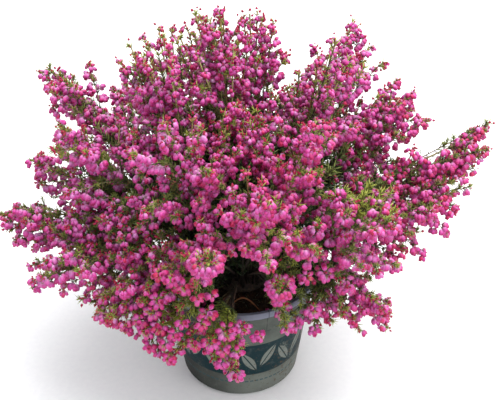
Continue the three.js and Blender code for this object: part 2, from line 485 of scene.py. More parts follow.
def unit(vectors: Array) -> Array:
    """The vectors at length 1."""
    return vectors / np.maximum(np.linalg.norm(vectors, axis=-1, keepdims=True), 1e-9)


def beside(axes: Array) -> Array:
    """A direction square to each axis: level, except where the axis is nearly upright."""
    steep = np.abs(axes[..., 2:3]) > 0.92
    return unit(np.cross(np.where(steep, np.array([1.0, 0.0, 0.0]), UP), axes))


def spoke(axes: Array, turn: Array) -> Array:
    """Directions square to axes: cos(turn) * across + sin(turn) * (axis x across)."""
    across, turn = beside(axes), turn[:, None]
    return np.cos(turn) * across + np.sin(turn) * np.cross(axes, across)


def leaning(axes: Array, aside: Array, lean: Array) -> Array:
    """Directions that lean off axes: cos(lean) * axis + sin(lean) * aside."""
    return unit(np.cos(lean)[:, None] * axes + np.sin(lean)[:, None] * aside)


def upright_turn(turn: Array, radius: Array | float, height: Array | float) -> Array:
    """Points round the upright axis: radius * cos(turn), radius * sin(turn), height."""
    places = np.broadcast_arrays(radius * np.cos(turn), radius * np.sin(turn), height)
    return np.stack(places, axis=-1)


def compass(count: int) -> Array:
    """Turns that share a circle evenly."""
    return np.arange(count) * FULL_TURN / count


def folded(share: Array) -> Array:
    """A wave that goes from 0 up to 1 and back as the share goes from 0 to 1, so it closes."""
    return 1 - np.abs(2 * (share % 1.0) - 1)


def rising(value: Array, start: float, span: float) -> Array:
    """0 up to the start, 1 from a span past it and even between; a negative span runs down."""
    return np.clip((value - start) / span, 0, 1)


def counted(counts: Array) -> tuple[Array, Array]:
    """For a count of things on each of some carriers, each thing's carrier and its order there."""
    pick = np.repeat(np.arange(len(counts)), counts)
    return pick, np.arange(len(pick)) - np.repeat(np.cumsum(counts) - counts, counts)


def to_tone(value: Array) -> Array:
    """The column of the UV map for each tone from 0 to 1."""
    return np.clip((value * TONES).astype(int), 0, TONES - 1)


def waves(points: Array, length: float, rng: Rng, octaves: int = 3) -> Array:
    """Smooth random heights: a sum of sine waves in random directions, halved at each octave.

    Args:
        points: (..., 3) places.
        length: the longest wave in millimetres.
        rng: the source of the directions.
        octaves: how many times the wave is halved.

    Returns:
        (...) heights of about -1 to 1.
    """
    total = np.zeros(points.shape[:-1])
    for octave in range(octaves):
        ways = unit(rng.normal(size=(5, 3))) * (FULL_TURN * 2**octave / length)
        phase = rng.uniform(0, FULL_TURN, 5)
        total = total + np.sin(points @ ways.T + phase).sum(-1) / (3.0 * 2**octave)
    return total


# Surfaces.


@dataclass(frozen=True)
class Surface:
    """Triangles with a place on the UV map for each corner.

    The points are in millimetres, the faces run anticlockwise from outside and uv has a row for
    each point or for each face's three corners.
    """

    points: Array
    faces: Array
    uv: Array

    def corner_uv(self) -> Array:
        """The (F, 3, 2) places on the UV map."""
        return self.uv if self.uv.ndim == 3 else self.uv[self.faces]


def joined(*surfaces: Surface) -> Surface:
    """Makes several surfaces one.

    Args:
        surfaces: the surfaces, whose corner numbers come to follow one another.

    Returns:
        All of them as one.
    """
    shifts = np.cumsum([0] + [len(s.points) for s in surfaces[:-1]])
    return Surface(
        np.concatenate([s.points for s in surfaces]),
        np.concatenate([s.faces + shift for s, shift in zip(surfaces, shifts)]),
        np.concatenate([s.corner_uv() for s in surfaces]),
    )


def repeated(points: Array, faces: Array, tone: Array, local: Array, v: Array) -> Surface:
    """Many things with one net of faces. Each has its own column of the UV map.

    Args:
        points: (M, V, 3) corners.
        faces: (F, 3) corner numbers of one thing.
        tone: (M,) column of each thing.
        local: (V,) place across the column, 0 to 1.
        v: (V,) or (M, V) place along it.

    Returns:
        All of them as one surface.
    """
    faces = faces + (np.arange(len(points)) * points.shape[1])[:, None, None]
    u = (tone[:, None] + 0.1 + 0.8 * local) / TONES
    uv = np.stack([u, np.broadcast_to(v, u.shape)], axis=-1)
    return Surface(points.reshape(-1, 3), faces.reshape(-1, 3), uv.reshape(-1, 2))


def ring_faces(rings: int, sides: int) -> Array:
    """Faces of a closed tube of rings, with a pole before the first and after the last.

    The rings' corners come first, ring by ring, then the first pole and the last pole.

    Args:
        rings: how many rings.
        sides: corners in each ring.

    Returns:
        (F, 3) corner numbers, facing outwards where the rings run anticlockwise about the axis.
    """
    ring, side = np.meshgrid(np.arange(rings - 1), np.arange(sides), indexing="ij")
    low, low_next = ring * sides + side, ring * sides + (side + 1) % sides
    high, high_next = low + sides, low_next + sides
    walls = np.stack([low, low_next, high_next, low, high_next, high], axis=-1).reshape(-1, 3)
    side = np.arange(sides)
    after = (side + 1) % sides
    first = np.full(sides, rings * sides)
    last = (rings - 1) * sides
    start = np.stack([first, after, side], axis=-1)
    end = np.stack([first + 1, last + side, last + after], axis=-1)
    return np.concatenate([walls, start, end])


def tubes(centres: Array, radii: Array, sides: int, tone: Array, ages: Array) -> Surface:
    """Round twigs: a circle carried along each path, closed at both ends.

    corner = centre + radius * (cos(turn) * across + sin(turn) * (tangent x across)), where across
    is one direction square to the path's chord, laid square to the tangent at each ring.

    Args:
        centres: (N, S, 3) points of each path.
        radii: (N, S) radius at each point.
        sides: corners round each ring.
        tone: (N,) column of the UV map for each twig.
        ages: (N, 2) v at the start and the end of each twig.

    Returns:
        All the twigs as one surface.
    """
    count, rings, _ = centres.shape
    tangents = unit(np.gradient(centres, axis=1))
    helper = beside(unit(centres[:, -1] - centres[:, 0]))[:, None, :]
    across = unit(helper - (helper * tangents).sum(-1, keepdims=True) * tangents)
    other = np.cross(tangents, across)
    turn = compass(sides)[:, None]
    spokes = np.cos(turn) * across[:, :, None] + np.sin(turn) * other[:, :, None]
    walls = centres[:, :, None] + radii[:, :, None, None] * spokes
    points = np.concatenate([walls.reshape(count, -1, 3), centres[:, [0, -1]]], axis=1)
    v = ages[:, :1] + (ages[:, 1:] - ages[:, :1]) * np.linspace(0, 1, rings)
    v = np.concatenate([np.repeat(v, sides, axis=1), ages], axis=1)
    local = np.append(np.tile(folded(compass(sides) / FULL_TURN), rings), [0.5, 0.5])
    return repeated(points, ring_faces(rings, sides), tone, local, v)


@dataclass(frozen=True)
class Shape:
    """A small shape to copy: it grows from the origin along +Z to about height 1.

    local is each corner's place across the shape's column of the UV map, and v its place along it.
    """

    points: Array
    faces: Array
    local: Array
    v: Array

    def copies(self, places: Array, aims: Array, sizes: Array, tone: Array, spin: Array) -> Surface:
        """Copies of the shape, each turned so that its +Z follows its aim.

        Args:
            places: (M, 3) where each copy's origin goes.
            aims: (M, 3) unit directions.
            sizes: (M, 2) width and length of each copy.
            tone: (M,) column of the UV map for each copy.
            spin: (M,) turn about the aim in radians.

        Returns:
            All the copies as one surface.
        """
        across, width = spoke(aims, spin), sizes[:, :1]
        axes = [across * width, np.cross(aims, across) * width, aims * sizes[:, 1:]]
        points = places[:, None] + np.einsum("vk,mkd->mvd", self.points, np.stack(axes, axis=1))
        return repeated(points, self.faces, tone, self.local, self.v)


def turned_shape(
    profile: list[tuple[float, float]], sides: int, lobes: float, ends: tuple[float, float]
) -> Shape:
    """A profile turned round +Z, with every second corner of the last ring pushed out.

    corner = radius * (cos(turn), sin(turn)) at the profile's height.

    Args:
        profile: radius and height of each ring.
        sides: corners round each ring.
        lobes: how much farther out every second corner of the last ring stands, as a share.
        ends: heights of the poles that close the first and the last ring.

    Returns:
        The shape, with v running from 0 at the first pole to 1 at the last ring.
    """
    rings = np.array(profile)
    radius = np.repeat(rings[:, :1], sides, axis=1)
    radius[-1] *= np.where(np.arange(sides) % 2 == 0, 1 + lobes, 1 - lobes)
    walls = upright_turn(compass(sides), radius, rings[:, 1:])
    points = np.concatenate([walls.reshape(-1, 3), np.outer(ends, UP)])
    v = np.append(walls[..., 2].ravel() / rings[-1, 1], [0.0, 1.0])
    local = np.append(np.tile(folded(compass(sides) / FULL_TURN), len(rings)), [0.5, 0.5])
    return Shape(points, ring_faces(len(rings), sides), local, v)


# A bell is rounded at the calyx, widest past the middle and drawn in to four lobes. Those in the
# shaded inside of the bush are plainer. A bud is an egg of four sides.
BELL = turned_shape([(0.72, 0.16), (1.0, 0.52), (0.62, 1.0)], 6, 0.16, (0.0, 0.55))
PLAIN_BELL = turned_shape([(1.0, 0.42), (0.66, 1.0)], 6, 0.12, (0.0, 0.6))
BUD = turned_shape([(1.0, 0.35)], 4, 0.0, (0.0, 1.0))
CRUMB = turned_shape([(0.55, 0.3), (0.5, 0.75)], 5, 0.1, (0.0, 1.0))
# A needle or a stalk is a thin pyramid from three corners, (cos(turn), sin(turn), 0), to (0, 0, 1).
SPIKE = Shape(
    np.concatenate([upright_turn(compass(3), 1.0, 0.0), [UP]]),
    np.array([(0, 1, 3), (1, 2, 3), (2, 0, 3), (0, 2, 1)]),
    np.append(folded(compass(3) / FULL_TURN), 0.5),
    np.array([0.0, 0.0, 0.0, 1.0]),
)


def linked(name: str, data: bpy.types.ID) -> bpy.types.Object:
    """Puts an object into the scene, at the origin.

    Args:
        name: its name.
        data: its mesh, lamp or camera.

    Returns:
        The object.
    """
    made = bpy.data.objects.new(name, data)
    bpy.context.scene.collection.objects.link(made)
    return made


def make_object(name: str, surface: Surface, material: Material) -> bpy.types.Object:
    """Makes an object at the origin from a surface.

    Args:
        name: the object's name.
        surface: its triangles in millimetres.
        material: its finish.

    Returns:
        The object.
    """
    mesh = bpy.data.meshes.new(name)
    count = len(surface.faces)
    mesh.vertices.add(len(surface.points))
    mesh.vertices.foreach_set("co", (surface.points * MM).astype(np.float32).ravel())
    mesh.loops.add(3 * count)
    mesh.loops.foreach_set("vertex_index", surface.faces.astype(np.int32).ravel())
    mesh.polygons.add(count)
    mesh.polygons.foreach_set("loop_start", np.arange(count, dtype=np.int32) * 3)
    mesh.polygons.foreach_set("use_smooth", np.ones(count, dtype=bool))
    layer = mesh.uv_layers.new(name=UV_MAP)
    layer.data.foreach_set("uv", surface.corner_uv().astype(np.float32).ravel())
    mesh.update(calc_edges=True)
    mesh.validate()
    mesh.materials.append(material)
    return linked(name, mesh)


def add_piece(piece: bpy.types.Object, slot: Slot, *nodes: str) -> None:
    """Attaches an object to the body, hides the CAD nodes that it replaces, and reports it.

    Args:
        piece: the object.
        slot: the record's material slot; not used.
        nodes: the CAD nodes that it replaces.
    """
    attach(piece, BODY)
    if nodes:
        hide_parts(*nodes)
    LOG.info("%s: %d triangles", piece.name, len(piece.data.polygons))


def revolved(profile: Array, sides: int, ripple: Array | float = 0.0) -> Surface:
    """A closed profile of (radius, height) turned round the upright axis.

    corner = radius * (cos(turn), sin(turn)), height + ripple. The first and the last point lie on
    the axis and are the poles. The UV map lays the turn along u and the profile's length along v.

    Args:
        profile: (P, 2) points, running so that the solid is on their left.
        sides: corners round each ring.
        ripple: (P - 2, sides, 3) shift of each corner, if the surface is uneven.

    Returns:
        The surface.
    """
    rings = profile[1:-1]
    walls = upright_turn(compass(sides), rings[:, :1], rings[:, 1:]) + ripple
    points = np.concatenate([walls.reshape(-1, 3), np.outer(profile[[0, -1], 1], UP)])
    faces = ring_faces(len(rings), sides)
    steps = np.linalg.norm(np.diff(profile, axis=0), axis=1)
    length = np.append(0.0, np.cumsum(steps)) / steps.sum()
    v = np.append(np.repeat(length[1:-1], sides), [0.0, 1.0])
    u = np.append(np.tile(np.arange(sides) / sides, len(rings)), [0.0, 0.0])
    uv = np.stack([u, v], axis=-1)[faces]
    seam = (uv[..., 0].max(axis=1) - uv[..., 0].min(axis=1)) > 0.5
    uv[..., 0] = np.where(seam[:, None] & (uv[..., 0] < 0.5), uv[..., 0] + 1.0, uv[..., 0])
    polar = faces >= len(rings) * sides
    middle = np.where(polar, 0.0, uv[..., 0]).sum(axis=1) / np.maximum((~polar).sum(axis=1), 1)
    uv[..., 0] = np.where(polar, middle[:, None], uv[..., 0])
    return Surface(points, faces, np.clip(uv, 0.0, 1.0))


# The pot, the compost and the crown.


@dataclass(frozen=True)
class NurseryPot:
    """The round nursery pot, with the sizes of the CAD model."""

    material: Material
    height: float = 95.0
    rim_radius: float = 60.0
    base_radius: float = 45.5
    base_rounding: float = 4.5
    lip_height: float = 5.5
    lip_step: float = 1.7
    rim_rounding: float = 0.8
    wall: float = 1.4
    sides: int = 144
    drain_holes: int = 6
    drain_radius: float = 3.5
    drain_ring: float = 33.0
    drill_heights: tuple[float, float] = (-2.0, 4.0)
    sharp: float = 28.0

    def wall_radius(self, height: float) -> float:
        """The outer wall's radius: a straight taper from the base to under the lip."""
        top = self.rim_radius - self.lip_step
        return self.base_radius + (top - self.base_radius) * height / self.height

    def outer(self) -> list[tuple[float, float]]:
        """The outside from the axis to the rim, with a groove under the lip.

        Returns:
            Radius and height of each point.
        """
        bend = self.base_rounding
        foot = self.wall_radius(bend) - bend
        lip = self.height - self.lip_height
        turns = np.linspace(-np.pi / 2, 0, 7)
        rounding = [(foot + bend * math.cos(a), bend * (1 + math.sin(a))) for a in turns]
        wall = [(self.wall_radius(h), h) for h in np.linspace(12.0, lip - 3.2, 9)]
        groove = [
            (self.wall_radius(lip - 2.2) - 0.25, lip - 2.2),
            (self.wall_radius(lip - 1.2) - 0.35, lip - 1.2),
            (self.rim_radius - 0.75, lip - 0.5),
            (self.rim_radius - 0.2, lip + 0.2),
            (self.rim_radius, lip + 1.0),
        ]
        drop = self.rim_rounding * (1 - upright_turn(np.linspace(0, np.pi / 2, 4), 1.0, 0.0))
        rim = [(self.rim_radius - x, self.height - z) for x, z, _ in drop]
        base = [(0.0, 0.7), (14.0, 0.7), (16.0, 0.0), (28.0, 0.0), (38.0, 0.0)]
        return base + rounding + wall + groove + rim

    def inner(self) -> list[tuple[float, float]]:
        """The inside from the rim down to the floor of the pot.

        Returns:
            Radius and height of each point.
        """
        foot = self.wall_radius(self.base_rounding) - self.base_rounding
        top = self.wall_radius(self.height) - self.wall
        heights = np.linspace(self.height - 6.0, self.base_rounding + 1.5, 8)
        walls = [(self.wall_radius(h) - self.wall, h) for h in heights]
        floor = [(r, self.wall) for r in (foot, 28.0, 14.0, 0.0)]
        rolled = [(top + out, self.height - down) for out, down in ((0.4, 0.1), (0, 0.5), (-0.2, 1.2))]
        return rolled + walls + floor

    def build(self) -> None:
        """Makes the pot, and bores its drain holes with a boolean modifier that is then applied."""
        profile = np.array(self.outer() + self.inner())
        pot = make_object("pot_shell", revolved(profile, self.sides), self.material)
        places = upright_turn(compass(self.drain_holes), self.drain_ring, 0.0)
        centres = places[:, None] + np.outer(self.drill_heights, UP)
        ages = np.tile([0.0, 0.02], (self.drain_holes, 1))
        radii = np.full((self.drain_holes, 2), self.drain_radius)
        drill = tubes(centres, radii, 20, np.zeros(self.drain_holes), ages)
        cutter = make_object("drill", drill, self.material)
        cut = pot.modifiers.new("drain_holes", "BOOLEAN")
        cut.object = cutter
        cut.operation = "DIFFERENCE"
        cut.solver = "EXACT"
        shown = pot.evaluated_get(bpy.context.evaluated_depsgraph_get())
        bored = bpy.data.meshes.new_from_object(shown)
        pot.modifiers.clear()
        pot.data = bored
        bored.set_sharp_from_angle(angle=math.radians(self.sharp))
        bpy.data.objects.remove(cutter)
        add_piece(pot, Slot.PLASTIC, "pot")


@dataclass(frozen=True)
class Litter:
    """What has fallen from the plant on to the compost: copies of one small shape, lying flat."""

    name: str
    shape: Shape
    count: int
    width: float
    length: float
    tones: int
    slot: Slot
    material: Material


@dataclass(frozen=True)
class CompostBed:
    """The compost: a lumpy top with loose crumbs, and litter that has fallen from the plant."""

    material: Material
    rng: Rng
    foot: float = 1.8
    foot_radius: float = 40.9
    corner: float = 4.9
    corner_radius: float = 44.3
    edge: float = 82.0
    edge_radius: float = 54.6
    top: float = 86.0
    flat_radius: float = 26.0
    sides: int = 96
    lump: float = 11.0
    lump_height: float = 0.9
    lumps_from_edge: float = 4.0
    sunk: float = 0.7
    crumbs: int = 420
    crumb_size: tuple[float, float] = (1.0, 3.2)
    litter_from: float = 24.0
    twig_radius: float = 0.6
    twig_rise: float = 14.0
    twig_start: tuple[float, float, float] = (-11.0, -46.0, 84.5)
    twig_end: tuple[float, float, float] = (15.0, -42.0, 84.0)

    def surface_height(self, radius: Array) -> Array:
        """The top's height: level in the middle, falling evenly to the edge."""
        fall = rising(radius, self.flat_radius, self.edge_radius - self.flat_radius)
        return self.top - (self.top - self.edge) * fall

    def build(self) -> None:
        """Makes the bed and its crumbs."""
        radii = np.linspace(self.edge_radius, 2.0, 26)
        under = [(0.0, self.foot), (30.0, self.foot), (self.foot_radius, self.foot)]
        under += [(self.corner_radius, self.corner), (49.4, 43.0)]
        profile = np.array(under + list(zip(radii, self.surface_height(radii))) + [(0.0, self.top)])
        grid = revolved(profile, self.sides).points[:-2].reshape(-1, self.sides, 3)
        lumps = waves(grid, self.lump, self.rng, 4) * self.lump_height
        free = rising(np.linalg.norm(grid[..., :2], axis=-1), self.edge_radius, -self.lumps_from_edge)
        free[: len(under) - 1] = 0
        bed = revolved(profile, self.sides, ((lumps * free) - free * self.sunk)[..., None] * UP)

        count = self.crumbs
        reach = (self.edge_radius - 2.5) * np.sqrt(self.rng.random(count))
        turn = self.rng.uniform(0, FULL_TURN, count)
        places = upright_turn(turn, reach, self.surface_height(reach) - 0.9)
        size = self.rng.uniform(*self.crumb_size, count)
        aims = unit(self.rng.normal(size=(count, 3)) + UP)
        sizes = np.stack([size, size * self.rng.uniform(0.6, 1.1, count)], axis=-1)
        loose = CRUMB.copies(places, aims, sizes, np.zeros(count), turn)
        add_piece(make_object("compost_bed", joined(bed, loose), self.material), Slot.COMPOST, "soil")

    def strew(self, litter: Litter) -> None:
        """Strews litter on the compost near the rim.

        Args:
            litter: what is strewn.
        """
        count = litter.count
        reach = self.rng.uniform(self.litter_from, self.edge_radius - 5.0, count)
        turn = self.rng.uniform(0, FULL_TURN, count)
        places = upright_turn(turn, reach, self.surface_height(reach) + litter.width * 0.3)
        aims = unit(self.rng.normal(size=(count, 3)) * (LEVEL + 0.15 * UP))
        sizes = np.array([litter.width / 2, litter.length]) * self.rng.uniform(0.8, 1.1, (count, 1))
        tone = self.rng.integers(0, litter.tones, count)
        copies = litter.shape.copies(places, aims, sizes, tone, turn)
        add_piece(make_object(litter.name, copies, litter.material), litter.slot)

    def root(self, bark: Material) -> None:
        """Makes the bare reddish twig that arches over the compost and roots at both ends.

        point = start + (end - start) * s + rise * sin(pi s) * up

        Args:
            bark: its finish.
        """
        start, end = np.array(self.twig_start), np.array(self.twig_end)
        share = np.linspace(0, 1, 14)[:, None]
        path = start + (end - start) * share + self.twig_rise * np.sin(np.pi * share) * UP
        radii = np.full((1, len(share)), self.twig_radius)
        twig = tubes(path[None], radii, 8, np.zeros(1), np.array([[0.9, 1.0]]))
        add_piece(make_object("rooted_twig", twig, bark), Slot.BARK)


@dataclass(frozen=True)
class WoodyCrown:
    """The low woody dome from which the stems part, knotted and uneven."""

    material: Material
    rng: Rng
    foot: float = 86.4
    radius: float = 24.0
    height: float = 12.0
    sides: int = 96
    rows: int = 24
    knot: float = 12.0
    knot_depth: float = 0.9
    deepest: float = 2.2
    knots_from_foot: float = 3.0
    oldest: float = 0.2

    def build(self) -> None:
        """Makes the crown: a quarter ellipse turned, with knots that push it in."""
        angles = np.linspace(0, np.pi / 2, self.rows)[:-1]
        dome = [(self.radius * math.cos(a), self.foot + self.height * math.sin(a)) for a in angles]
        profile = np.array([(0.0, self.foot), *dome, (0.0, self.foot + self.height)])
        flat = revolved(profile, self.sides).points[:-2].reshape(-1, self.sides, 3)
        knots = self.knot_depth + self.knot_depth * waves(flat, self.knot, self.rng, 3)
        lift = rising(flat[..., 2], self.foot, self.knots_from_foot)
        ripple = unit(self.foot * UP - flat) * (np.clip(knots, 0, self.deepest) * lift)[..., None]
        dome = revolved(profile, self.sides, ripple)
        old = replace(dome, uv=dome.uv * np.array([1.0, self.oldest]))
        add_piece(make_object("knotted_crown", old, self.material), Slot.BARK, "crown")


# The shoots.


# Main shoots: the bearing and the rise of the tip in degrees, the length, half the width of the
# spray and the number of side twigs.
SHOOTS = (
    # The crest.
    (125, 84, 208, 38, 13), (65, 76, 189, 38, 13), (170, 67, 190, 44, 13), (8, 66, 192, 44, 13),
    (42, 54, 206, 42, 13), (102, 55, 194, 52, 13), (-125, 64, 188, 52, 13), (-52, 64, 186, 52, 13),
    # The shoulders.
    (19, 43, 190, 44, 13), (2, 33, 214, 22, 10), (156, 41, 211, 44, 13), (175, 29, 180, 32, 15),
    (-171, 48, 188, 44, 16), (-101, 38, 146, 44, 7), (-80, 50, 178, 48, 13), (-40, 38, 172, 50, 13),
    (62, 29, 184, 54, 13), (95, 19, 176, 54, 13), (127, 29, 186, 54, 13),
    # The sides.
    (-5, 22, 173, 42, 13), (-175, 18, 185, 36, 18), (-157, 9, 162, 44, 20), (-31, 2, 128, 40, 13),
    (38, 5, 152, 50, 13), (146, 5, 156, 50, 13),
    # The low shoots that lean over the rim.
    (-141, 4, 124, 36, 17), (-71, 29, 107, 28, 5), (-95, -20, 93, 28, 8),
)
# Twigs placed one by one where the photograph shows them: the bearing and the rise of each tip
# from the middle of the rim in degrees, and how far off it is.
PLACED_AROUND = (
    # The crest.
    (151, 71, 194), (161, 69, 192), (180, 76, 191), (132, 73, 187), (-166, 76, 185), (180, 81, 182),
    (-172, 71, 184), (173, 64, 186), (88, 81, 192), (52, 86, 186), (180, 89, 183), (72, 73, 183),
    (32, 65, 187), (11, 72, 180), (30, 49, 187), (24, 46, 183), (15, 46, 173), (12, 53, 169),
    (140, 79, 202), (138, 81, 196), (79, 78, 193), (66, 78, 192), (53, 78, 191), (146, 84, 192),
    (159, 73, 191), (146, 73, 191), (170, 71, 191), (160, 77, 189), (180, 70, 189), (-162, 75, 181),
    (164, 66, 191), (73, 77, 195), (85, 78, 192), (155, 42, 196), (158, 40, 209), (160, 41, 195),
    (161, 46, 181), (119, 84, 203), (131, 78, 197), (36, 60, 203), (32, 54, 191), (22, 56, 142),
    (-105, 78, 155), (-92, 79, 159), (-80, 79, 154), (-69, 78, 157), (-98, 78, 148), (-85, 78, 145),
    (-71, 77, 146), (-62, 77, 150), (-110, 77, 146), (-100, 86, 146), (-63, 85, 140), (-114, 85, 133),
    (-44, 84, 132), (16, 71, 115), (26, 67, 117), (15, 65, 113), (32, 71, 115), (162, 75, 131),
    (-170, 65, 135), (170, 78, 135), (180, 66, 131), (-9, 74, 118), (0, 69, 114),
    # The left side.
    (-172, 47, 179), (-170, 47, 166), (164, 42, 192), (-173, 13, 170), (-165, 11, 158), (-160, 15, 149),
    (-154, 10, 140), (-151, 7, 129), (-147, 3, 121), (-141, 1, 114), (-132, -1, 106), (-143, 12, 120),
    (-150, 14, 125), (-157, 14, 133), (-175, 18, 181), (-174, 15, 176), (-170, 20, 154), (-167, 19, 144),
    (-163, 19, 136), (-163, 24, 129), (-156, 24, 122), (-151, 30, 119), (-147, 38, 120), (-158, 33, 127),
    (-170, 26, 138), (-158, 40, 124), (-140, 32, 116), (-140, 20, 115), (-154, 19, 127), (-135, 35, 104),
    (-143, 37, 107), (-124, 40, 114), (-116, 38, 118), (-160, 20, 127), (-166, 17, 136), (-153, 24, 118),
    (-170, 13, 155), (-173, 13, 163), (-146, 7, 119), (-142, 6, 114), (-141, 27, 108), (-153, 19, 120),
    (-163, 16, 131), (-159, 24, 123), (-145, 25, 112), (-127, -4, 106), (-123, -6, 104), (-119, -8, 102),
    (-129, 17, 111), (-135, 13, 114), (-124, 13, 107), (-120, 8, 102), (-121, 21, 108), (-132, 7, 109),
    (-125, 4, 106), (-148, 34, 109), (-136, 36, 107), (-129, 36, 105), (-140, 33, 107), (-152, 32, 113),
    # The front.
    (-150, 47, 108), (-144, 44, 104), (-147, 38, 108), (-140, 37, 102), (-129, 33, 114), (-155, 53, 108),
    (-130, 42, 112), (-128, 37, 118), (-120, 33, 116), (-112, 43, 125), (-118, 49, 132), (-135, 42, 126),
    (-142, 34, 123), (-129, 50, 133), (-146, 47, 129), (-106, 49, 136), (-114, 26, 110), (-146, 25, 118),
    (-127, 23, 111), (-155, 35, 128), (-136, 26, 112), (-89, 50, 147), (-84, 45, 143), (-95, 44, 138),
    (-67, 44, 139), (-59, 37, 128), (-49, 25, 116), (-65, 51, 147), (-46, 39, 131), (-36, 28, 126),
    (-86, 61, 153), (-103, 59, 147), (-69, 62, 157), (-92, 56, 151), (-79, 58, 153), (-65, 58, 151),
    (-104, 65, 146), (-89, 67, 152), (-72, 68, 155), (-119, 67, 145), (-102, 74, 148), (-78, 76, 152),
    (-54, 64, 153), (-48, 57, 148), (-46, 50, 142), (-42, 43, 136), (-58, 45, 139), (-107, 54, 142),
    (-87, 42, 141), (-136, 57, 132), (-127, 62, 134), (-152, 55, 133), (-129, 42, 103), (-121, 39, 105),
    (-145, 36, 94),
    # The right side.
    (3, 37, 213), (3, 34, 214), (2, 35, 199), (1, 30, 198), (1, 30, 186), (0, 28, 173), (-1, 28, 190),
    (-2, 27, 162), (-8, 26, 160), (-13, 26, 150), (-16, 23, 138), (-19, 19, 132), (-24, 17, 128),
    (4, 25, 168), (0, 23, 182), (0, 28, 149), (17, 41, 175), (12, 38, 179), (-35, 10, 116), (-30, 2, 121),
    (-40, -2, 113), (-48, 3, 97), (-52, -2, 89), (-45, 7, 105), (-27, -8, 123), (1, 32, 212), (-1, 31, 205),
    (-3, 28, 181), (-5, 26, 170), (-6, 25, 163), (0, 29, 178), (-9, 26, 158), (-1, 30, 197), (19, 44, 127),
    (15, 41, 132), (14, 47, 118), (11, 39, 141), (17, 42, 141), (3, 44, 124), (7, 36, 144), (2, 34, 149),
)
# These hang over the rim at the front.
PLACED_DRAPED = (
    (-115, -2, 101), (-114, 11, 98), (-112, 1, 99), (-106, 15, 97), (-109, 7, 97), (-102, 17, 94),
    (-96, 15, 94), (-105, -2, 93), (-101, -9, 93), (-94, -14, 92), (-80, 4, 90), (-85, -3, 88),
    (-91, -6, 88), (-89, 5, 88), (-68, 5, 91), (-114, 19, 104), (-117, 3, 101),
)
# These are leafy: they spill over the rim or fill the bush's hollows.
PLACED_LEAFY = (
    (-107, 10, 78), (-113, 12, 84), (-120, 6, 82), (-100, 4, 82), (-92, 2, 83), (-96, 8, 84), (-66, 7, 75),
    (-60, 4, 76), (-52, 6, 76), (-43, 4, 74), (-32, 7, 72), (-75, 14, 80), (-159, 29, 95), (-152, 33, 90),
    (-141, 39, 91), (-161, 24, 99), (-140, 34, 95), (-171, 10, 131), (-166, 12, 124), (-150, 24, 99),
    (174, 10, 90), (162, 0, 96), (173, 3, 83), (161, -7, 91), (165, 0, 115), (175, 4, 124), (167, -3, 131),
    (159, -2, 85), (175, 8, 109), (-169, 20, 110), (-109, 20, 88), (-106, 18, 83), (-110, 22, 92),
    (-103, 16, 79), (-107, 16, 87), (-112, 18, 93), (-27, 45, 123), (-26, 44, 135), (-24, 40, 138),
    (-21, 36, 139), (-27, 40, 122), (-25, 35, 127), (-19, 44, 135), (-22, 48, 118), (-20, 41, 141),
)
# Bare leafy shoots seen between the flowering ones, against the light.
PLACED_STEMS = (
    (169, 77, 189), (148, 74, 175), (175, 73, 185), (156, 69, 169), (170, 81, 194), (135, 72, 139),
    (128, 73, 127), (176, 67, 183), (174, 49, 155), (-170, 1, 120), (-178, 33, 163), (180, 38, 157),
    (40, 58, 150), (30, 62, 155), (7, 62, 185), (30, 72, 159), (24, 68, 162), (46, 78, 163), (9, 70, 194),
    (155, 56, 127), (180, 38, 168),
)
# Round clusters of flowers that end a leafy shoot: the middle's place, the bearing and the rise
# that the shoot points in, and the cluster's radius.
POSIES = (
    (-20, -108, 182, -92, 60, 12.5), (28, -90, 147, -85, 62, 11), (39, -88, 174, -80, 20, 4.5),
    (49, -84, 170, -75, 20, 4.5), (-20, -92, 126, -100, 0, 6), (13, -90, 104, -60, -5, 5),
    (3, -90, 111, -75, 5, 5.5), (-8, -94, 111, -90, 15, 6.5), (-2, -92, 69, -90, -35, 6),
    (-12, -92, 80, -95, -30, 4), (-30, -93, 100, -110, 0, 5.5), (-19, -95, 103, -95, 5, 6),
    (-11, -95, 96, -90, -10, 5), (-1, -93, 91, -80, -20, 4), (-38, -92, 118, -110, 10, 4.5),
    (-25, -94, 118, -95, 10, 4.5), (-48, -94, 87, -110, -25, 5), (33, -84, 105, -75, -20, 4.5),
    (51, -78, 117, -60, 0, 6), (53, -74, 95, -60, -25, 4.5), (59, -74, 146, -60, 20, 6),
    (45, -82, 149, -75, 15, 5), (-62, -86, 91, -120, -20, 5), (-78, -78, 100, -130, -10, 5.5),
    (-59, -84, 120, -115, 10, 6), (-68, -82, 110, -120, 0, 6), (-54, -88, 110, -110, 0, 6),
    (-63, -86, 105, -115, -5, 6), (-50, -92, 99, -110, -15, 5.5), (-44, -92, 107, -105, -10, 5),
    (-54, -84, 130, -110, 15, 6), (-51, -94, 161, -110, 10, 5), (-43, -96, 158, -105, 5, 5),
    (-35, -97, 153, -100, 5, 4.5), (-27, -97, 144, -100, 0, 4), (-18, -93, 143, -85, -5, 3.5),
)
# Round places that stay empty, so that the bush's outline keeps its notches: middle and radius.
NOTCHES = (
    (137, 10, 195, 11), (143, 10, 211, 6), (-143, -5, 170, 9), (110, -45, 116, 8), (120, -40, 105, 9),
    (-7, -84, 154, 6), (3, -90, 173, 7), (-16, -92, 144, 7), (-1, -92, 169, 7), (-11, -96, 149, 6),
    (-38, -100, 158, 6),
)
# Round places where the shoots carry leaves and no flowers: middle and radius.
GREENS = (
    (-37, -92, 172, 7), (-41, -90, 162, 7), (-31, -96, 184, 6), (-44, -90, 172, 6), (14, -88, 175, 8),
    (20, -86, 166, 7), (26, -88, 176, 7), (34, -88, 179, 7), (42, -86, 167, 7), (13, -86, 160, 6),
    (76, -50, 189, 9), (85, -50, 193, 9), (95, -50, 188, 9), (93, -50, 177, 8), (104, -45, 179, 8),
)
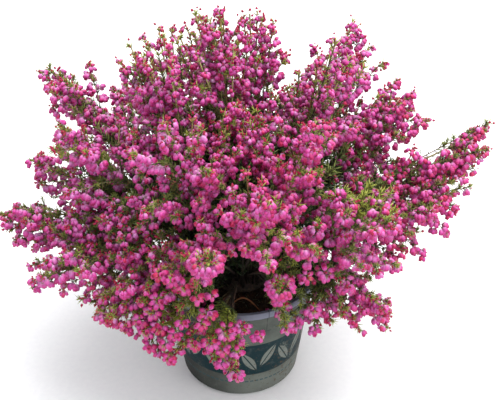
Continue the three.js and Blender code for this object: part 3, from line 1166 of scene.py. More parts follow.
# Where young yellow-green shoots show at the bush's front, and how far each patch reaches.
LEAFY_SPOTS = (
    (-9, -84, 119), (5, -88, 114), (-22, -90, 104), (-4, -90, 77), (-26, -104, 190), (-35, -96, 180),
    (23, -92, 169), (30, -88, 153), (42, -82, 163), (-32, -90, 105), (61, -66, 122), (69, -64, 158),
    (40, -90, 198), (15, -100, 201), (-61, -78, 125), (-50, -84, 120), (92, -34, 178), (71, -60, 196),
    (110, -30, 156), (-120, -50, 150), (80, -38, 180), (90, -38, 187), (99, -38, 181), (94, -40, 165),
    (107, -38, 174),
)
LEAFY_REACH = 13.0


def heading_of(bearing: Array, rise: Array) -> Array:
    """Unit directions at bearings and rises in degrees."""
    bearing, rise = np.radians(bearing), np.radians(rise)
    return upright_turn(bearing, np.cos(rise), np.sin(rise))


def placed(rows: tuple[tuple[int, ...], ...]) -> Array:
    """The points at given bearings, rises and distances from the middle of the rim."""
    bearing, rise, length = np.array(rows, float).T
    return BUSH_CENTRE + heading_of(bearing, rise) * length[:, None]


def posy_table() -> tuple[Array, ...]:
    """The round clusters' middles, bearings, rises and radii."""
    table = np.array(POSIES, float)
    return table[:, :3], *table[:, 3:].T


def off_spots(points: Array) -> Array:
    """How far each point is from each leafy spot, as a share of a spot's reach."""
    return np.linalg.norm(points[:, None] - np.array(LEAFY_SPOTS), axis=-1) / LEAFY_REACH


def within(points: Array, balls: tuple[tuple[float, ...], ...], margin: float = 0.0) -> Array:
    """Which points lie in any of some balls.

    Args:
        points: (M, 3) points.
        balls: rows that begin with the middle's place and end with the radius.
        margin: what is added to each radius.

    Returns:
        (M,) marks.
    """
    table = np.array(balls, float)
    away = np.linalg.norm(points[:, None] - table[:, :3], axis=-1)
    return (away < table[:, -1] + margin).any(axis=1)


def on_curve(controls: Array, share: Array) -> tuple[Array, Array]:
    """Points on curves and the directions there.

    point = (1 - s)^2 foot + 2 s (1 - s) bend + s^2 tip, and the direction is its slope.

    Args:
        controls: (M, 3, 3) foot, bend and tip.
        share: (M,) share along, s.

    Returns:
        (M, 3) points and (M, 3) unit directions.
    """
    foot, bend, tip = (controls[:, k] for k in range(3))
    s = share[:, None]
    point = (1 - s) ** 2 * foot + 2 * s * (1 - s) * bend + s**2 * tip
    return point, unit((1 - s) * (bend - foot) + s * (tip - bend))


@dataclass(frozen=True)
class OpenSpace:
    """The room that flowers and leaves keep out of: the pot, and the gap in the plant's front.

    The gap is an oval tunnel that rises towards the front, so the compost shows through it.
    """

    radius: float = 61.5
    top: float = 96.0
    soil_radius: float = 55.0
    soil_top: float = 88.0
    gap_middle: tuple[float, float] = (1.0, 121.0)
    gap_half: tuple[float, float] = (18.0, 26.0)
    gap_slope: float = 0.69
    gap_front: float = -50.0
    gap_back: float = -28.0
    sill_middle: float = 11.0
    sill_half: float = 12.0
    sill_foot: float = 84.0
    sill_top: float = 100.0
    sill_back: float = -45.0
    skirt_across: tuple[int, ...] = (-180, -125, -100, -78, -50, -2, 30, 90, 130, 180)
    skirt_height: tuple[int, ...] = (140, 120, 100, 96, 76, 58, 82, 74, 104, 140)

    def in_gap(self, points: Array) -> Array:
        """Which points lie in the gap or above its sill, the bare piece of the pot's rim.

        The gap is ((x - a) / r)^2 + ((h - b) / t)^2 < 1 in front of its back, with h the height
        less the tunnel's slope. The sill is a box that slopes with the tunnel.

        Args:
            points: (M, 3) points.

        Returns:
            (M,) marks.
        """
        x, y, z = points.T
        height = z + self.gap_slope * (y - self.gap_front)
        across = (x - self.gap_middle[0]) / self.gap_half[0]
        up = (height - self.gap_middle[1]) / self.gap_half[1]
        oval = (across**2 + up**2 < 1) & (y < self.gap_back)
        sill = (np.abs(x - self.sill_middle) < self.sill_half) & (y < self.sill_back)
        return oval | (sill & (height > self.sill_foot) & (height < self.sill_top))

    def above_skirt(self, points: Array) -> Array:
        """Which points are above the line that the lowest shoots hang to, from left to right."""
        return points[:, 2] > np.interp(points[:, 0], self.skirt_across, self.skirt_height)

    def clear(self, points: Array) -> Array:
        """Which points are in neither the pot's wall, the compost nor the gap.

        Args:
            points: (M, 3) points.

        Returns:
            (M,) marks.
        """
        radius = np.linalg.norm(points[:, :2], axis=-1)
        in_wall = (radius < self.radius) & (radius > self.soil_radius) & (points[:, 2] < self.top)
        in_soil = (radius <= self.soil_radius) & (points[:, 2] < self.soil_top)
        return ~(in_wall | in_soil | self.in_gap(points))


SPACE = OpenSpace()


@dataclass(frozen=True)
class Rows:
    """Arrays of one length, with a row for each thing."""

    def kept(self, keep: Array) -> "Rows":
        """Only the rows whose mark is true, or the rows with these numbers."""
        return type(self)(*(column[keep] for column in vars(self).values()))


@dataclass(frozen=True)
class Copies(Rows):
    """Where the copies of a small shape go, with the main shoot that each belongs to."""

    places: Array
    aims: Array
    sizes: Array
    tone: Array
    spin: Array
    owner: Array

    def of(self, owner: int, shape: Shape) -> Surface:
        """The copies on one main shoot, as a surface."""
        *columns, _ = vars(self.kept(self.owner == owner)).values()
        return shape.copies(*columns)

    def and_more(self, *more: "Copies") -> "Copies":
        """These copies followed by more of them."""
        tables = (vars(copies).values() for copies in (self, *more))
        return Copies(*(np.concatenate(columns) for columns in zip(*tables)))


@dataclass(frozen=True)
class Branchlets(Rows):
    """The short side shoots that carry the flowers and the tufts of young leaves."""

    owner: Array
    share: Array
    start: Array
    aim: Array
    length: Array
    leafy: Array
    loose: Array


@dataclass(frozen=True)
class Twigs:
    """Every twig of the plant: the main shoots first, then the side twigs.

    controls holds each curve's foot, bend and tip, owner the number of its main shoot, leafy_from
    and bloom_from the share along at which needles and flowers begin, loose 1 where the flowers
    are well apart, thick the radius at both ends and phase where the twig's waver begins.
    """

    controls: Array
    owner: Array
    leafy_from: Array
    bloom_from: Array
    loose: Array
    leafy_only: Array
    thick: Array
    phase: Array

    def at(self, index: Array, share: Array) -> Array:
        """Points on the twigs: the curve plus a waver of up to 1.5 mm, nothing at both ends.

        waver = sin(pi s) * (1.5 sin(9 s + phase) * side + 0.8 cos(11 s + phase) * up)

        Args:
            index: (M,) which twig.
            share: (M,) share along it, s.

        Returns:
            (M, 3) points.
        """
        controls = self.controls[index]
        s, phase = share[:, None], self.phase[index][:, None]
        side = beside(unit(controls[:, 2] - controls[:, 0]))
        waver = 1.5 * np.sin(np.pi * s) * np.sin(9 * s + phase) * side
        return on_curve(controls, share)[0] + waver + 0.8 * np.sin(np.pi * s) * np.cos(11 * s + phase) * UP

    def lines(self, index: Array, count: int) -> Array:
        """(M, count, 3) points spread evenly from foot to tip of some twigs."""
        share = np.tile(np.linspace(0, 1, count), len(index))
        return self.at(np.repeat(index, count), share).reshape(-1, count, 3)

    def heading(self, index: Array, share: Array, step: float = 0.01) -> Array:
        """Unit directions of growth at a share along some twigs."""
        low, high = (self.at(index, np.clip(share + way, 0, 1)) for way in (-step, step))
        return unit(high - low)

    def spaced(self, start: Array, gap: Array) -> tuple[Array, Array, Array]:
        """Places at even gaps from a share along each twig to its tip.

        Args:
            start: (N,) share at which they begin.
            gap: (N,) gap in millimetres.

        Returns:
            Which twig, the share along it and the order along it of each place.
        """
        chords = np.diff(self.lines(np.arange(len(self.owner)), 13), axis=1)
        lengths = np.linalg.norm(chords, axis=-1).sum(axis=1)
        counts = ((1 - start) * lengths / gap).astype(int)
        index, order = counted(counts)
        return index, start[index] + (1 - start[index]) * (order + 0.5) / counts[index], order


@dataclass(frozen=True)
class ShootForm:
    """How every main shoot leaves the crown, with the sizes of the CAD model."""

    soil_top: float = 86.4
    crown_radius: float = 24.0
    crown_height: float = 12.0
    feet_radius: float = 20.0
    feet_spread: float = 0.6
    foot_gap: float = 0.9
    least_start_rise: float = 42.0
    blend: float = 6.0
    lead: float = 0.42
    droop_lead: float = 0.2
    droop_range: float = 60.0
    tip_in: float = 0.975

    def curves(self) -> Array:
        """The three points of each shoot's curve: foot, bend and tip.

        The shoot leaves the crown along its start direction, at least as steep as the least start
        rise, and the bend lies on that direction, farther out the more the shoot droops. The curve
        is then cut short, so that the last flowers end at the outline.

        Returns:
            (N, 3, 3) points.
        """
        bearing, rise, length, _, _ = np.array(SHOOTS, float).T
        length, angle = length[:, None], np.radians(rise)[:, None]
        out = heading_of(bearing, 0.0)
        half_gap = (rise - self.least_start_rise) / 2
        start_rise = (rise + self.least_start_rise) / 2 + np.hypot(half_gap, self.blend)
        steep = np.radians(start_rise)[:, None]
        start = out * np.cos(steep) + UP * np.sin(steep)
        reach = np.minimum(self.feet_radius * (1 - rise / 90) ** self.feet_spread, self.feet_radius)
        dome = self.crown_height * np.sqrt(1 - (reach / self.crown_radius) ** 2)
        foot = out * reach[:, None] + UP * (self.soil_top + dome)[:, None] + start * self.foot_gap
        tip = out * length * np.cos(angle) + UP * (BUSH_CENTRE[2] + length * np.sin(angle))
        lead = length * (self.lead + self.droop_lead * (start_rise - rise)[:, None] / self.droop_range)
        whole = np.stack([foot, foot + start * lead, tip], axis=1)
        tip = on_curve(whole, np.full(len(whole), self.tip_in))[0]
        bend = foot + self.tip_in * (whole[:, 1] - foot)
        return np.stack([foot, bend, tip], axis=1)


@dataclass(frozen=True)
class Suckers:
    """Leafy shoots without flowers, from the crown's side, that fill the bush's inside."""

    count: int
    reach: tuple[float, float]
    lift: tuple[float, float]


@dataclass(frozen=True)
class Habit:
    """How one group of twigs grows: its foot's radius, and where its leaves and flowers begin."""

    foot: float
    leafy_from: float
    bloom_from: float
    flowers: bool = True
    by_hand: bool = False


@dataclass(frozen=True)
class Branching:
    """How the side twigs fill the bush out to the outline that the main shoots' tips give.

    main holds the main shoots' curves. A curve's owner is the number of its main shoot.
    """

    rng: Rng
    form: ShootForm
    main: Array
    spray_from: float = 0.36
    widest_at: float = 0.58
    bells_reach: float = 4.0
    first_twig: float = 0.34
    last_twig: float = 0.93
    lean_at: tuple[float, ...] = (0.3, 0.6, 0.95)
    lean: tuple[float, ...] = (50, 42, 26)
    least_span: float = 9.0
    tries: int = 210
    lowest_sine: float = -0.24
    gather: float = 40.0
    bow_at: tuple[float, ...] = (-20, 10, 60)
    bow: tuple[float, ...] = (0.20, 0.12, -0.03)
    basal: Suckers = Suckers(44, (12, 34), (2, 44))
    upright: Suckers = Suckers(120, (-16, 48), (40, 100))
    tall: Suckers = Suckers(90, (-10, 60), (70, 112))

    def room(self, share: Array, width: Array) -> Array:
        """How far from a main shoot its side twigs may end: the CAD spray's outline.

        It opens as sin(along)^0.9 up to the widest place and closes as cos(along)^0.6 to the tip.

        Args:
            share: (M,) share along the main shoot.
            width: (M,) greatest half width.

        Returns:
            (M,) distances in millimetres.
        """
        along = np.clip((share - self.spray_from) / (1 - self.spray_from), 0.02, 0.999)
        opening = np.sin(np.pi / 2 * np.minimum(along / self.widest_at, 1)) ** 0.9
        closing = np.cos(np.pi / 2 * rising(along, self.widest_at, 1 - self.widest_at)) ** 0.6
        return np.maximum(width * opening * closing - self.bells_reach, 2.0)

    def plume(self) -> tuple[Array, Array]:
        """The twigs up each main shoot, leaning forwards round it, out to the spray's outline.

        Returns:
            (M, 3, 3) curves and (M,) owners.
        """
        table = np.array(SHOOTS, float)
        each = table[:, 4].astype(int)
        owner, order = counted(each)
        share = self.first_twig + (self.last_twig - self.first_twig) * (order + 0.5) / each[owner]
        share = share + self.rng.normal(0, 0.015, len(share))
        base, heading = on_curve(self.main[owner], share)
        turn = order * GOLDEN_ANGLE + owner * 1.7 + self.rng.normal(0, 0.25, len(share))
        lean = np.radians(np.interp(share, self.lean_at, self.lean))
        lean = lean * self.rng.uniform(0.75, 1.2, len(share))
        length, width = table[owner, 2:4].T
        span = width * 1.35 * self.rng.uniform(0.8, 1.1, len(share))
        for _ in range(5):
            end = share + span * np.cos(lean) / length
            span = span * np.clip(self.room(end, width) / (span * np.sin(lean)), 0.6, 1.0)
        span = np.maximum(span, self.least_span)[:, None]
        way = leaning(heading, spoke(heading, turn), lean)
        middle = base + 0.5 * span * unit(way + 0.35 * heading)
        return np.stack([base, middle, base + way * span], axis=1), owner

    def outline(self, ways: Array) -> tuple[Array, Array]:
        """How far out the bush reaches in given directions.

        It is the mean of the main shoots' reaches, those near the direction counting most: the
        weight falls as exp(gather * (cosine of the angle between them - 1)).

        Args:
            ways: (M, 3) unit directions from the bush's centre.

        Returns:
            (M,) reaches in millimetres, and (M,) the greatest weight: 1 along a main shoot.
        """
        spokes = self.main[:, 2] - BUSH_CENTRE
        weight = np.exp(self.gather * (ways @ unit(spokes).T - 1))
        reach = (weight * np.linalg.norm(spokes, axis=1)).sum(axis=1) / weight.sum(axis=1)
        return reach, weight.max(axis=1)

    def depth(self, points: Array) -> Array:
        """How far out points lie: 0 at the bush's centre and 1 at its outline."""
        away = points - BUSH_CENTRE
        return np.linalg.norm(away, axis=1) / self.outline(unit(away))[0]

    def nearest(self, tips: Array) -> Array:
        """The main shoot that lies nearest in direction to each tip."""
        return np.argmax(unit(tips - BUSH_CENTRE) @ unit(self.main[:, 2] - BUSH_CENTRE).T, axis=1)

    def fill_tips(self) -> Array:
        """Tips between the main shoots, spread evenly round the bush by the golden angle.

        Each lies part of the way out to the outline, farther in where no main shoot is near.

        Returns:
            (M, 3) tips.
        """
        order = np.arange(self.tries)
        sine = self.lowest_sine + (1 - self.lowest_sine) * (order + 0.5) / self.tries
        ways = upright_turn(order * GOLDEN_ANGLE, np.sqrt(1 - sine**2), sine)
        ways = unit(ways + self.rng.normal(0, 0.045, ways.shape))
        reach, nearness = self.outline(ways)
        farthest = 0.67 + 0.27 * nearness**1.3
        return BUSH_CENTRE + ways * (reach * self.rng.uniform(0.5, farthest))[:, None]

    def reaching(self, tips: Array) -> tuple[Array, Array]:
        """Twigs that reach given tips.

        Each leaves the nearest main shoot in the shoot's own direction and bows over towards its
        tip, the more so the lower it lies.

        Args:
            tips: (M, 3) where the twigs end.

        Returns:
            (M, 3, 3) curves and (M,) owners.
        """
        owner = self.nearest(tips)
        base, heading = on_curve(self.main[owner], self.rng.uniform(0.28, 0.5, len(tips)))
        chord = tips - base
        span = np.linalg.norm(chord, axis=1, keepdims=True)
        rise = np.degrees(np.arcsin(unit(tips - BUSH_CENTRE)[:, 2:]))
        bow = np.interp(rise, self.bow_at, self.bow)
        middle = base + 0.45 * span * unit(unit(chord) + 0.5 * heading) + bow * span * UP
        return np.stack([base, middle, tips], axis=1), owner

    def suckers(self, kind: Suckers) -> tuple[Array, Array]:
        """Leafy shoots round the crown, laid out by the golden angle.

        Args:
            kind: how many there are, and how far out and up they reach.

        Returns:
            (M, 3, 3) curves and (M,) owners.
        """
        out = upright_turn(np.arange(kind.count) * GOLDEN_ANGLE, 1.0, 0.0)
        height = self.rng.uniform(0.25, 0.95, (kind.count, 1))
        side = self.form.crown_radius * np.sqrt(1 - height**2)
        base = out * side + UP * (self.form.soil_top + self.form.crown_height * height)
        outward = self.rng.uniform(*kind.reach, (kind.count, 1))
        upward = self.rng.uniform(*kind.lift, (kind.count, 1))
        middle = base + out * outward * 0.35 + UP * (upward * 0.6 + 10)
        owner = np.argmax(out @ unit(self.main[:, 2] * LEVEL).T, axis=1)
        return np.stack([base, middle, base + out * outward + UP * upward], axis=1), owner

    def build(self) -> Twigs:
        """Lays out every twig, and leaves out those that would end in the pot or in the gap.

        The shoots that carry the round clusters end a little behind each cluster's middle.

        Returns:
            The twigs.
        """
        middle, toward, tilt, radius = posy_table()
        posy_feet = middle - heading_of(toward, tilt) * radius[:, None] * 0.3
        spilling = np.concatenate([placed(PLACED_LEAFY), posy_feet])
        groups = [
            (Habit(1.3, 0.3, 0.66), (self.main, np.arange(len(self.main)))),
            (Habit(0.6, 0.1, 0.34), self.plume()),
            (Habit(0.75, 0.1, 0.56), self.reaching(self.fill_tips())),
            (Habit(0.75, 0.1, 0.58, True, True), self.reaching(placed(PLACED_AROUND))),
            (Habit(0.75, 0.1, 0.7, True, True), self.reaching(placed(PLACED_DRAPED))),
            (Habit(0.6, 0.1, 0.3, False, True), self.reaching(spilling)),
            (Habit(0.6, 0.05, 0.15, False), self.suckers(self.basal)),
            (Habit(0.8, 0.1, 1.0, False), self.suckers(self.upright)),
            (Habit(0.8, 0.2, 1.0, False), self.suckers(self.tall)),
            (Habit(0.8, 0.1, 1.0, False), self.reaching(placed(PLACED_STEMS))),
        ]
        controls, owner = (np.concatenate(parts) for parts in zip(*(grown for _, grown in groups)))
        each = [len(owners) for _, (_, owners) in groups]
        table = np.repeat([list(vars(habit).values()) for habit, _ in groups], each, axis=0)
        tips, by_hand = controls[:, 2], table[:, 4] > 0
        free = SPACE.clear(tips) & (SPACE.above_skirt(tips) | by_hand) & ~within(tips, NOTCHES, 3.0)
        for share in (0.4, 0.6, 0.8):
            along = on_curve(controls, np.full(len(owner), share))[0]
            free &= SPACE.clear(along) & ~within(along, NOTCHES)
        keep = free | (np.arange(len(owner)) < len(self.main))
        controls, count = controls[keep], keep.sum()
        foot, leafy_from, bloom_from, flowers, _ = table[keep].T
        steep = np.degrees(np.arcsin(unit(controls[:, 2] - controls[:, 0])[:, 2]))
        begins = np.minimum(bloom_from + self.rng.uniform(-0.05, 0.08, count), 1.0)
        loose = rising(steep, 50, 26) * self.rng.uniform(0.35, 1.0, count)
        tip = np.where(np.arange(count) < len(self.main), 0.45, 0.32) + 0.3 * loose
        thick, phase = np.stack([foot, tip], axis=-1), self.rng.uniform(0, FULL_TURN, count)
        return Twigs(controls, owner[keep], leafy_from, begins, loose, flowers == 0, thick, phase)


@dataclass(frozen=True)
class Flowering:
    """The flowers: short branchlets up each twig, each with a few hanging bells."""

    rng: Rng
    twigs: Twigs
    gap: float = 3.1
    branchlet: float = 4.2
    bells_each: int = 5
    bell_size: tuple[float, float] = (1.9, 5.0)
    bud_size: tuple[float, float] = (1.0, 2.4)
    leaf_size: tuple[float, float] = (0.42, 4.4)
    tip_buds: int = 7
    stalk: float = 1.2
    stalk_width: float = 0.3
    stalk_tone: int = 5
    hang: float = 0.85
    lean: tuple[float, float] = (46, 66)
    topside: float = 0.6
    topside_leafy: float = 0.0
    leafy_share: float = 0.08
    clump: float = 30.0
    green_between: tuple[float, float] = (1.1, 0.1)
    posy_fill: float = 0.85
    posy_large: float = 9.0
    posy_edge: float = 118.0
    posy_core: float = 0.13
    posy_leaves: int = 5

    def branchlets(self) -> Branchlets:
        """Lays the branchlets round each twig by the golden angle, leaning forwards.

        On a level twig those on top are leafy, so that the flowers hang at its sides and below.
        More of them are leafy low in the bush's front, in clumps.

        Returns:
            The branchlets.
        """
        twigs, rng = self.twigs, self.rng
        gap = self.gap * (1 + 0.9 * twigs.loose + 0.6 * twigs.leafy_only)
        index, share, order = twigs.spaced(twigs.bloom_from, gap)
        count = len(index)
        share = np.clip(share + rng.normal(0, 0.008, count), 0, 0.995)
        heading = twigs.heading(index, share)
        turn = order * GOLDEN_ANGLE + twigs.phase[index] + rng.normal(0, 0.3, count)
        aside = spoke(heading, turn)
        lean = np.radians(rng.uniform(*self.lean, count))
        start = twigs.at(index, share)
        topside = np.where(off_spots(start).min(axis=1) < 1, self.topside_leafy, self.topside)
        level = 1 - heading[:, 2] ** 2
        leafy = (aside[:, 2] > topside) & (rng.random(count) < 0.9 * level)
        x, y, z = start.T
        front = rising(y, -50, -30) * rising(z, 172, -30) * rising(x, -55, 15)
        clump = waves(start, self.clump, np.random.default_rng(9), 2)
        leafy |= clump > np.interp(front, [0, 1], self.green_between)
        length = self.branchlet * rng.uniform(0.6, 1.25, count) * (1 - 0.55 * rising(share, 0.75, 0.25))
        leafy |= within(start, GREENS) | (rng.random(count) < self.leafy_share)
        aim, leafy = leaning(heading, aside, lean), leafy | twigs.leafy_only[index]
        return Branchlets(twigs.owner[index], share, start, aim, length, leafy, twigs.loose[index])

    def bells(self, branch: Branchlets) -> tuple[Copies, Copies]:
        """The bells at each branchlet's end, hanging outwards and down, with their stalks.

        Args:
            branch: the flowering branchlets.

        Returns:
            The bells and the stalks.
        """
        rng, many = self.rng, len(branch.owner)
        pick, order = counted(np.full(many, self.bells_each))
        turn = compass(self.bells_each)[order] + rng.uniform(0, FULL_TURN, many)[pick]
        branch, count = branch.kept(pick), len(pick)
        aside = spoke(branch.aim, turn)
        end = branch.start + branch.aim * (branch.length * rng.uniform(0.75, 1.0, count))[:, None]
        lead = unit(0.5 * branch.aim + aside + 0.1 * UP)
        base = end + lead * (self.stalk * rng.uniform(0.7, 1.2, count))[:, None]
        scatter = rng.normal(0, 0.18, (count, 3))
        facing = unit(0.5 * branch.aim + 0.4 * aside + scatter - self.hang * UP)
        young = rising(branch.share, 0.8, 0.2)
        size = rng.uniform(0.8, 1.12, count) * (1 - 0.25 * young) * (1 - 0.24 * branch.loose)
        sizes = np.outer(size, self.bell_size)
        spin = rng.uniform(0, FULL_TURN, count)
        bells = Copies(base, facing, sizes, self.tone(base, young), spin, branch.owner)
        way = base - end
        stalk_sizes = np.full((count, 2), self.stalk_width)
        stalk_sizes[:, 1] = np.linalg.norm(way, axis=1) + 0.4
        tone = np.full(count, self.stalk_tone)
        stalks = Copies(end, unit(way), stalk_sizes, tone, spin, branch.owner)
        middle = base + facing * sizes[:, 1:] * 0.5
        keep = SPACE.clear(middle) & (rng.random(count) > 0.15 * branch.loose)
        keep &= ~within(middle, POSIES, 2.5) & ~within(middle, NOTCHES + GREENS)
        return bells.kept(keep), stalks.kept(keep)

    def tone(self, places: Array, young: Array) -> Array:
        """Each flower's tone: paler to the left, deeper near the tips, and patchy.

        Args:
            places: (M, 3) where the flowers are.
            young: (M,) 1 at a shoot's tip.

        Returns:
            (M,) columns of the UV map.
        """
        drift = 0.10 * waves(places, 130.0, np.random.default_rng(5), 2)
        value = 0.50 + drift - 0.0006 * places[:, 0] - 0.10 * young
        value = value + self.rng.normal(0, 0.17, len(places))
        return to_tone(np.where(self.rng.random(len(places)) < 0.02, 0.97, value))

    def buds(self, branch: Branchlets) -> Copies:
        """Crimson buds: a few round each twig's tip and one on some of the branchlets.

        Args:
            branch: the flowering branchlets.

        Returns:
            The buds.
        """
        twigs, rng = self.twigs, self.rng
        bearing_flowers = np.flatnonzero(~twigs.leafy_only)
        index = np.repeat(bearing_flowers, self.tip_buds)
        share = np.tile(np.linspace(0.90, 1.0, self.tip_buds), len(bearing_flowers))
        heading = twigs.heading(index, share)
        aim = unit(heading + 0.9 * unit(rng.normal(size=heading.shape)))
        places = twigs.at(index, share) + aim * rng.uniform(0.8, 2.8, len(index))[:, None]
        some = branch.kept(rng.random(len(branch.owner)) < 0.5 + 0.5 * branch.loose)
        aims = np.concatenate([aim, unit(some.aim + 0.5 * rng.normal(size=some.aim.shape))])
        places = np.concatenate([places, some.start + some.aim * (some.length * 1.1)[:, None]])
        owner = np.concatenate([twigs.owner[index], some.owner])
        sizes = np.outer(rng.uniform(0.75, 1.25, len(places)), self.bud_size)
        tone = rng.integers(0, 3, len(places))
        copies = Copies(places, aims, sizes, tone, rng.uniform(0, 6, len(places)), owner)
        return copies.kept(SPACE.clear(places) & ~within(places, POSIES, 0.5) & ~within(places, NOTCHES))

    def posies(self, branching: Branching) -> tuple[Copies, Copies, Copies]:
        """Round clusters: bells about the shoot's end that hang outwards, and buds in its middle.

        way = cos(angle) * axis + sin(angle) * (cos(turn) * across + sin(turn) * other), where the
        angle's cosine falls evenly from 1 to the cluster's edge and the turn is the golden angle.

        Args:
            branching: finds the main shoot that each cluster belongs to.

        Returns:
            The bells, the buds and the young needles.
        """
        rng = self.rng
        middle, toward, tilt, radius = posy_table()
        full = radius > self.posy_large
        counts = (self.posy_fill * radius**1.6 * (1 + 0.35 * full)).astype(int)
        pick, order = counted(counts)
        count = len(pick)
        share = (order + 0.5) / counts[pick]
        owner, full, radius = branching.nearest(middle)[pick], full[pick], radius[pick]
        axis = heading_of(toward, tilt)[pick]
        aside = spoke(axis, order * GOLDEN_ANGLE + rng.normal(0, 0.15, count))
        cosine = (1 - (1 - math.cos(math.radians(self.posy_edge))) * share)[:, None]
        way = cosine * axis + np.sqrt(1 - cosine**2) * aside
        reach = np.maximum(radius - self.bell_size[1] * 0.75, 1.0) * rng.uniform(0.85, 1.05, count)
        squash = LEVEL + np.where(full, 0.7, 1.0)[:, None] * UP
        base = middle[pick] + way * reach[:, None] * squash
        hang = np.where(full, 0.95, 0.45)[:, None]
        facing = unit(way - hang * UP + rng.normal(0, 0.12, (count, 3)))
        size = rng.uniform(0.9, 1.12, count) * np.where(full, 0.88, 1.0)
        spin = rng.uniform(0, FULL_TURN, count)
        tone = self.tone(base, rising(share, 1 / 3, -1 / 3))
        bells = Copies(base, facing, np.outer(size, self.bell_size), tone, spin, owner)
        tone = rng.integers(0, 3, count)
        buds = Copies(base + way, way, np.outer(size, self.bud_size), tone, spin, owner)
        leaf_way = unit(way + rng.normal(0, 0.5, (count, 3)))
        leaves = Copies(base, leaf_way, np.outer(size, self.leaf_size), np.ones(count), spin, owner)
        core = share < self.posy_core
        leafy = (share < self.posy_core * 1.6) | (way[:, 2] > 0.75)
        inside = leafy & ~core & (rng.random(count) < 0.5)
        leaves = leaves.kept(np.repeat(np.flatnonzero(leafy), self.posy_leaves))
        spread = unit(leaves.aims + rng.normal(0, 0.45, leaves.aims.shape))
        return bells.kept(~core & ~inside), buds.kept(core | inside), replace(leaves, aims=spread)


@dataclass(frozen=True)
class Leafing:
    """The needle leaves, in whorls up each twig and in tufts on the leafy branchlets."""

    rng: Rng
    twigs: Twigs
    gap: float = 3.0
    each: int = 4
    width: float = 0.42
    length: float = 5.2
    tuft: int = 12
    tuft_length: float = 4.2
    tuft_reach: float = 1.35
    inside: float = 1.2
    lean: tuple[float, float] = (30, 60)
    # The needles inside the bush are drawn coarser than life, so that few of them close it.
    coarse_within: float = 0.72
    coarse_blend: float = 0.2
    coarser: tuple[float, float] = (1.0, 0.3)

    def whorls(self) -> Copies:
        """Whorls of needles: each whorl is turned by the golden angle from the last.

        Returns:
            The needles.
        """
        twigs, rng = self.twigs, self.rng
        index, share, order = twigs.spaced(twigs.leafy_from, self.gap * (1 + 0.9 * twigs.loose))
        amid = (share > twigs.bloom_from[index]) & (order % 2 == 0) & (share < 0.9)
        index, share, order = (np.repeat(a[~amid], self.each) for a in (index, share, order))
        count = len(index)
        share = np.clip(share + rng.normal(0, 0.006, count), 0, 1)
        quarter = np.tile(compass(self.each), count // self.each)
        turn = quarter + order * GOLDEN_ANGLE + rng.normal(0, 0.2, count)
        length = self.length * np.where(twigs.leafy_only[index], self.inside, 1.0)
        places, heading = twigs.at(index, share), twigs.heading(index, share)
        young = rising(share, 0.9, 0.1)
        return self.needles(Copies(places, heading, length, young, turn, twigs.owner[index]))

    def tufts(self, branch: Branchlets) -> Copies:
        """Young needles set thickly up each leafy branchlet.

        Args:
            branch: the leafy branchlets.

        Returns:
            The needles.
        """
        pick, order = counted(np.full(len(branch.owner), self.tuft))
        branch, share = branch.kept(pick), (order + 1) / self.tuft
        places = branch.start + branch.aim * (branch.length * self.tuft_reach * share)[:, None]
        turn = order * GOLDEN_ANGLE + pick
        length = np.full(len(pick), self.tuft_length)
        young = 0.55 + 0.45 * share
        return self.needles(Copies(places, branch.aim, length, young, turn, branch.owner))

    def needles(self, stems: Copies) -> Copies:
        """Needles that lean forwards from their stem.

        Args:
            stems: each needle's place, its stem's direction, its length as the size, 1 as the tone
                where it is young, its turn round the stem and its main shoot.

        Returns:
            The needles.
        """
        rng, count, length = self.rng, len(stems.owner), stems.sizes
        lean = np.radians(rng.uniform(*self.lean, count))
        aim = leaning(stems.aims, spoke(stems.aims, stems.spin), lean)
        size = rng.uniform(0.75, 1.3, count)
        sizes = np.stack([self.width * length / self.tuft_length, length * size], axis=-1)
        copies = replace(stems, aims=aim, sizes=sizes, spin=rng.uniform(0, 6, count))
        end = stems.places + aim * sizes[:, 1:]
        keep = SPACE.clear(end) & SPACE.clear(stems.places) & ~within(end, POSIES)
        return copies.kept(keep & ~within(end, NOTCHES, -2.0))

    def toned(self, needles: Copies, depth: Array) -> Copies:
        """Gives each needle its tone: dark inside the bush as painted shade, brighter outside and
        where young.

        Those at the leafy spots, the crest and the front skirt are brighter still. Those inside
        are made coarser, so that few of them close the bush's middle to the eye.

        Args:
            needles: the needles, whose tone says how young each is from 0 to 1.
            depth: (M,) how far out each lies.

        Returns:
            The needles, with columns of the UV map as their tones.
        """
        _, y, z = needles.places.T
        glow = np.exp(-(off_spots(needles.places) ** 2)).sum(axis=1)
        patch = 0.12 * waves(needles.places, 90.0, np.random.default_rng(8), 2)
        # Painted shade: needles deep in the bush get the darkest tones.
        value = 0.05 + rising(depth, 0.38, 0.5) * (0.42 + 0.33 * needles.tone + patch) + 0.4 * glow
        value = value + 0.2 * rising(z, 185, 60) + 0.36 * rising(y, -56, -18) * rising(z, 140, -22)
        value = value + self.rng.normal(0, 0.10, len(value))
        inner = rising(depth, self.coarse_within, -self.coarse_blend)
        sizes = needles.sizes * (1 + inner[:, None] * np.array(self.coarser))
        return replace(needles, tone=to_tone(value), sizes=sizes)


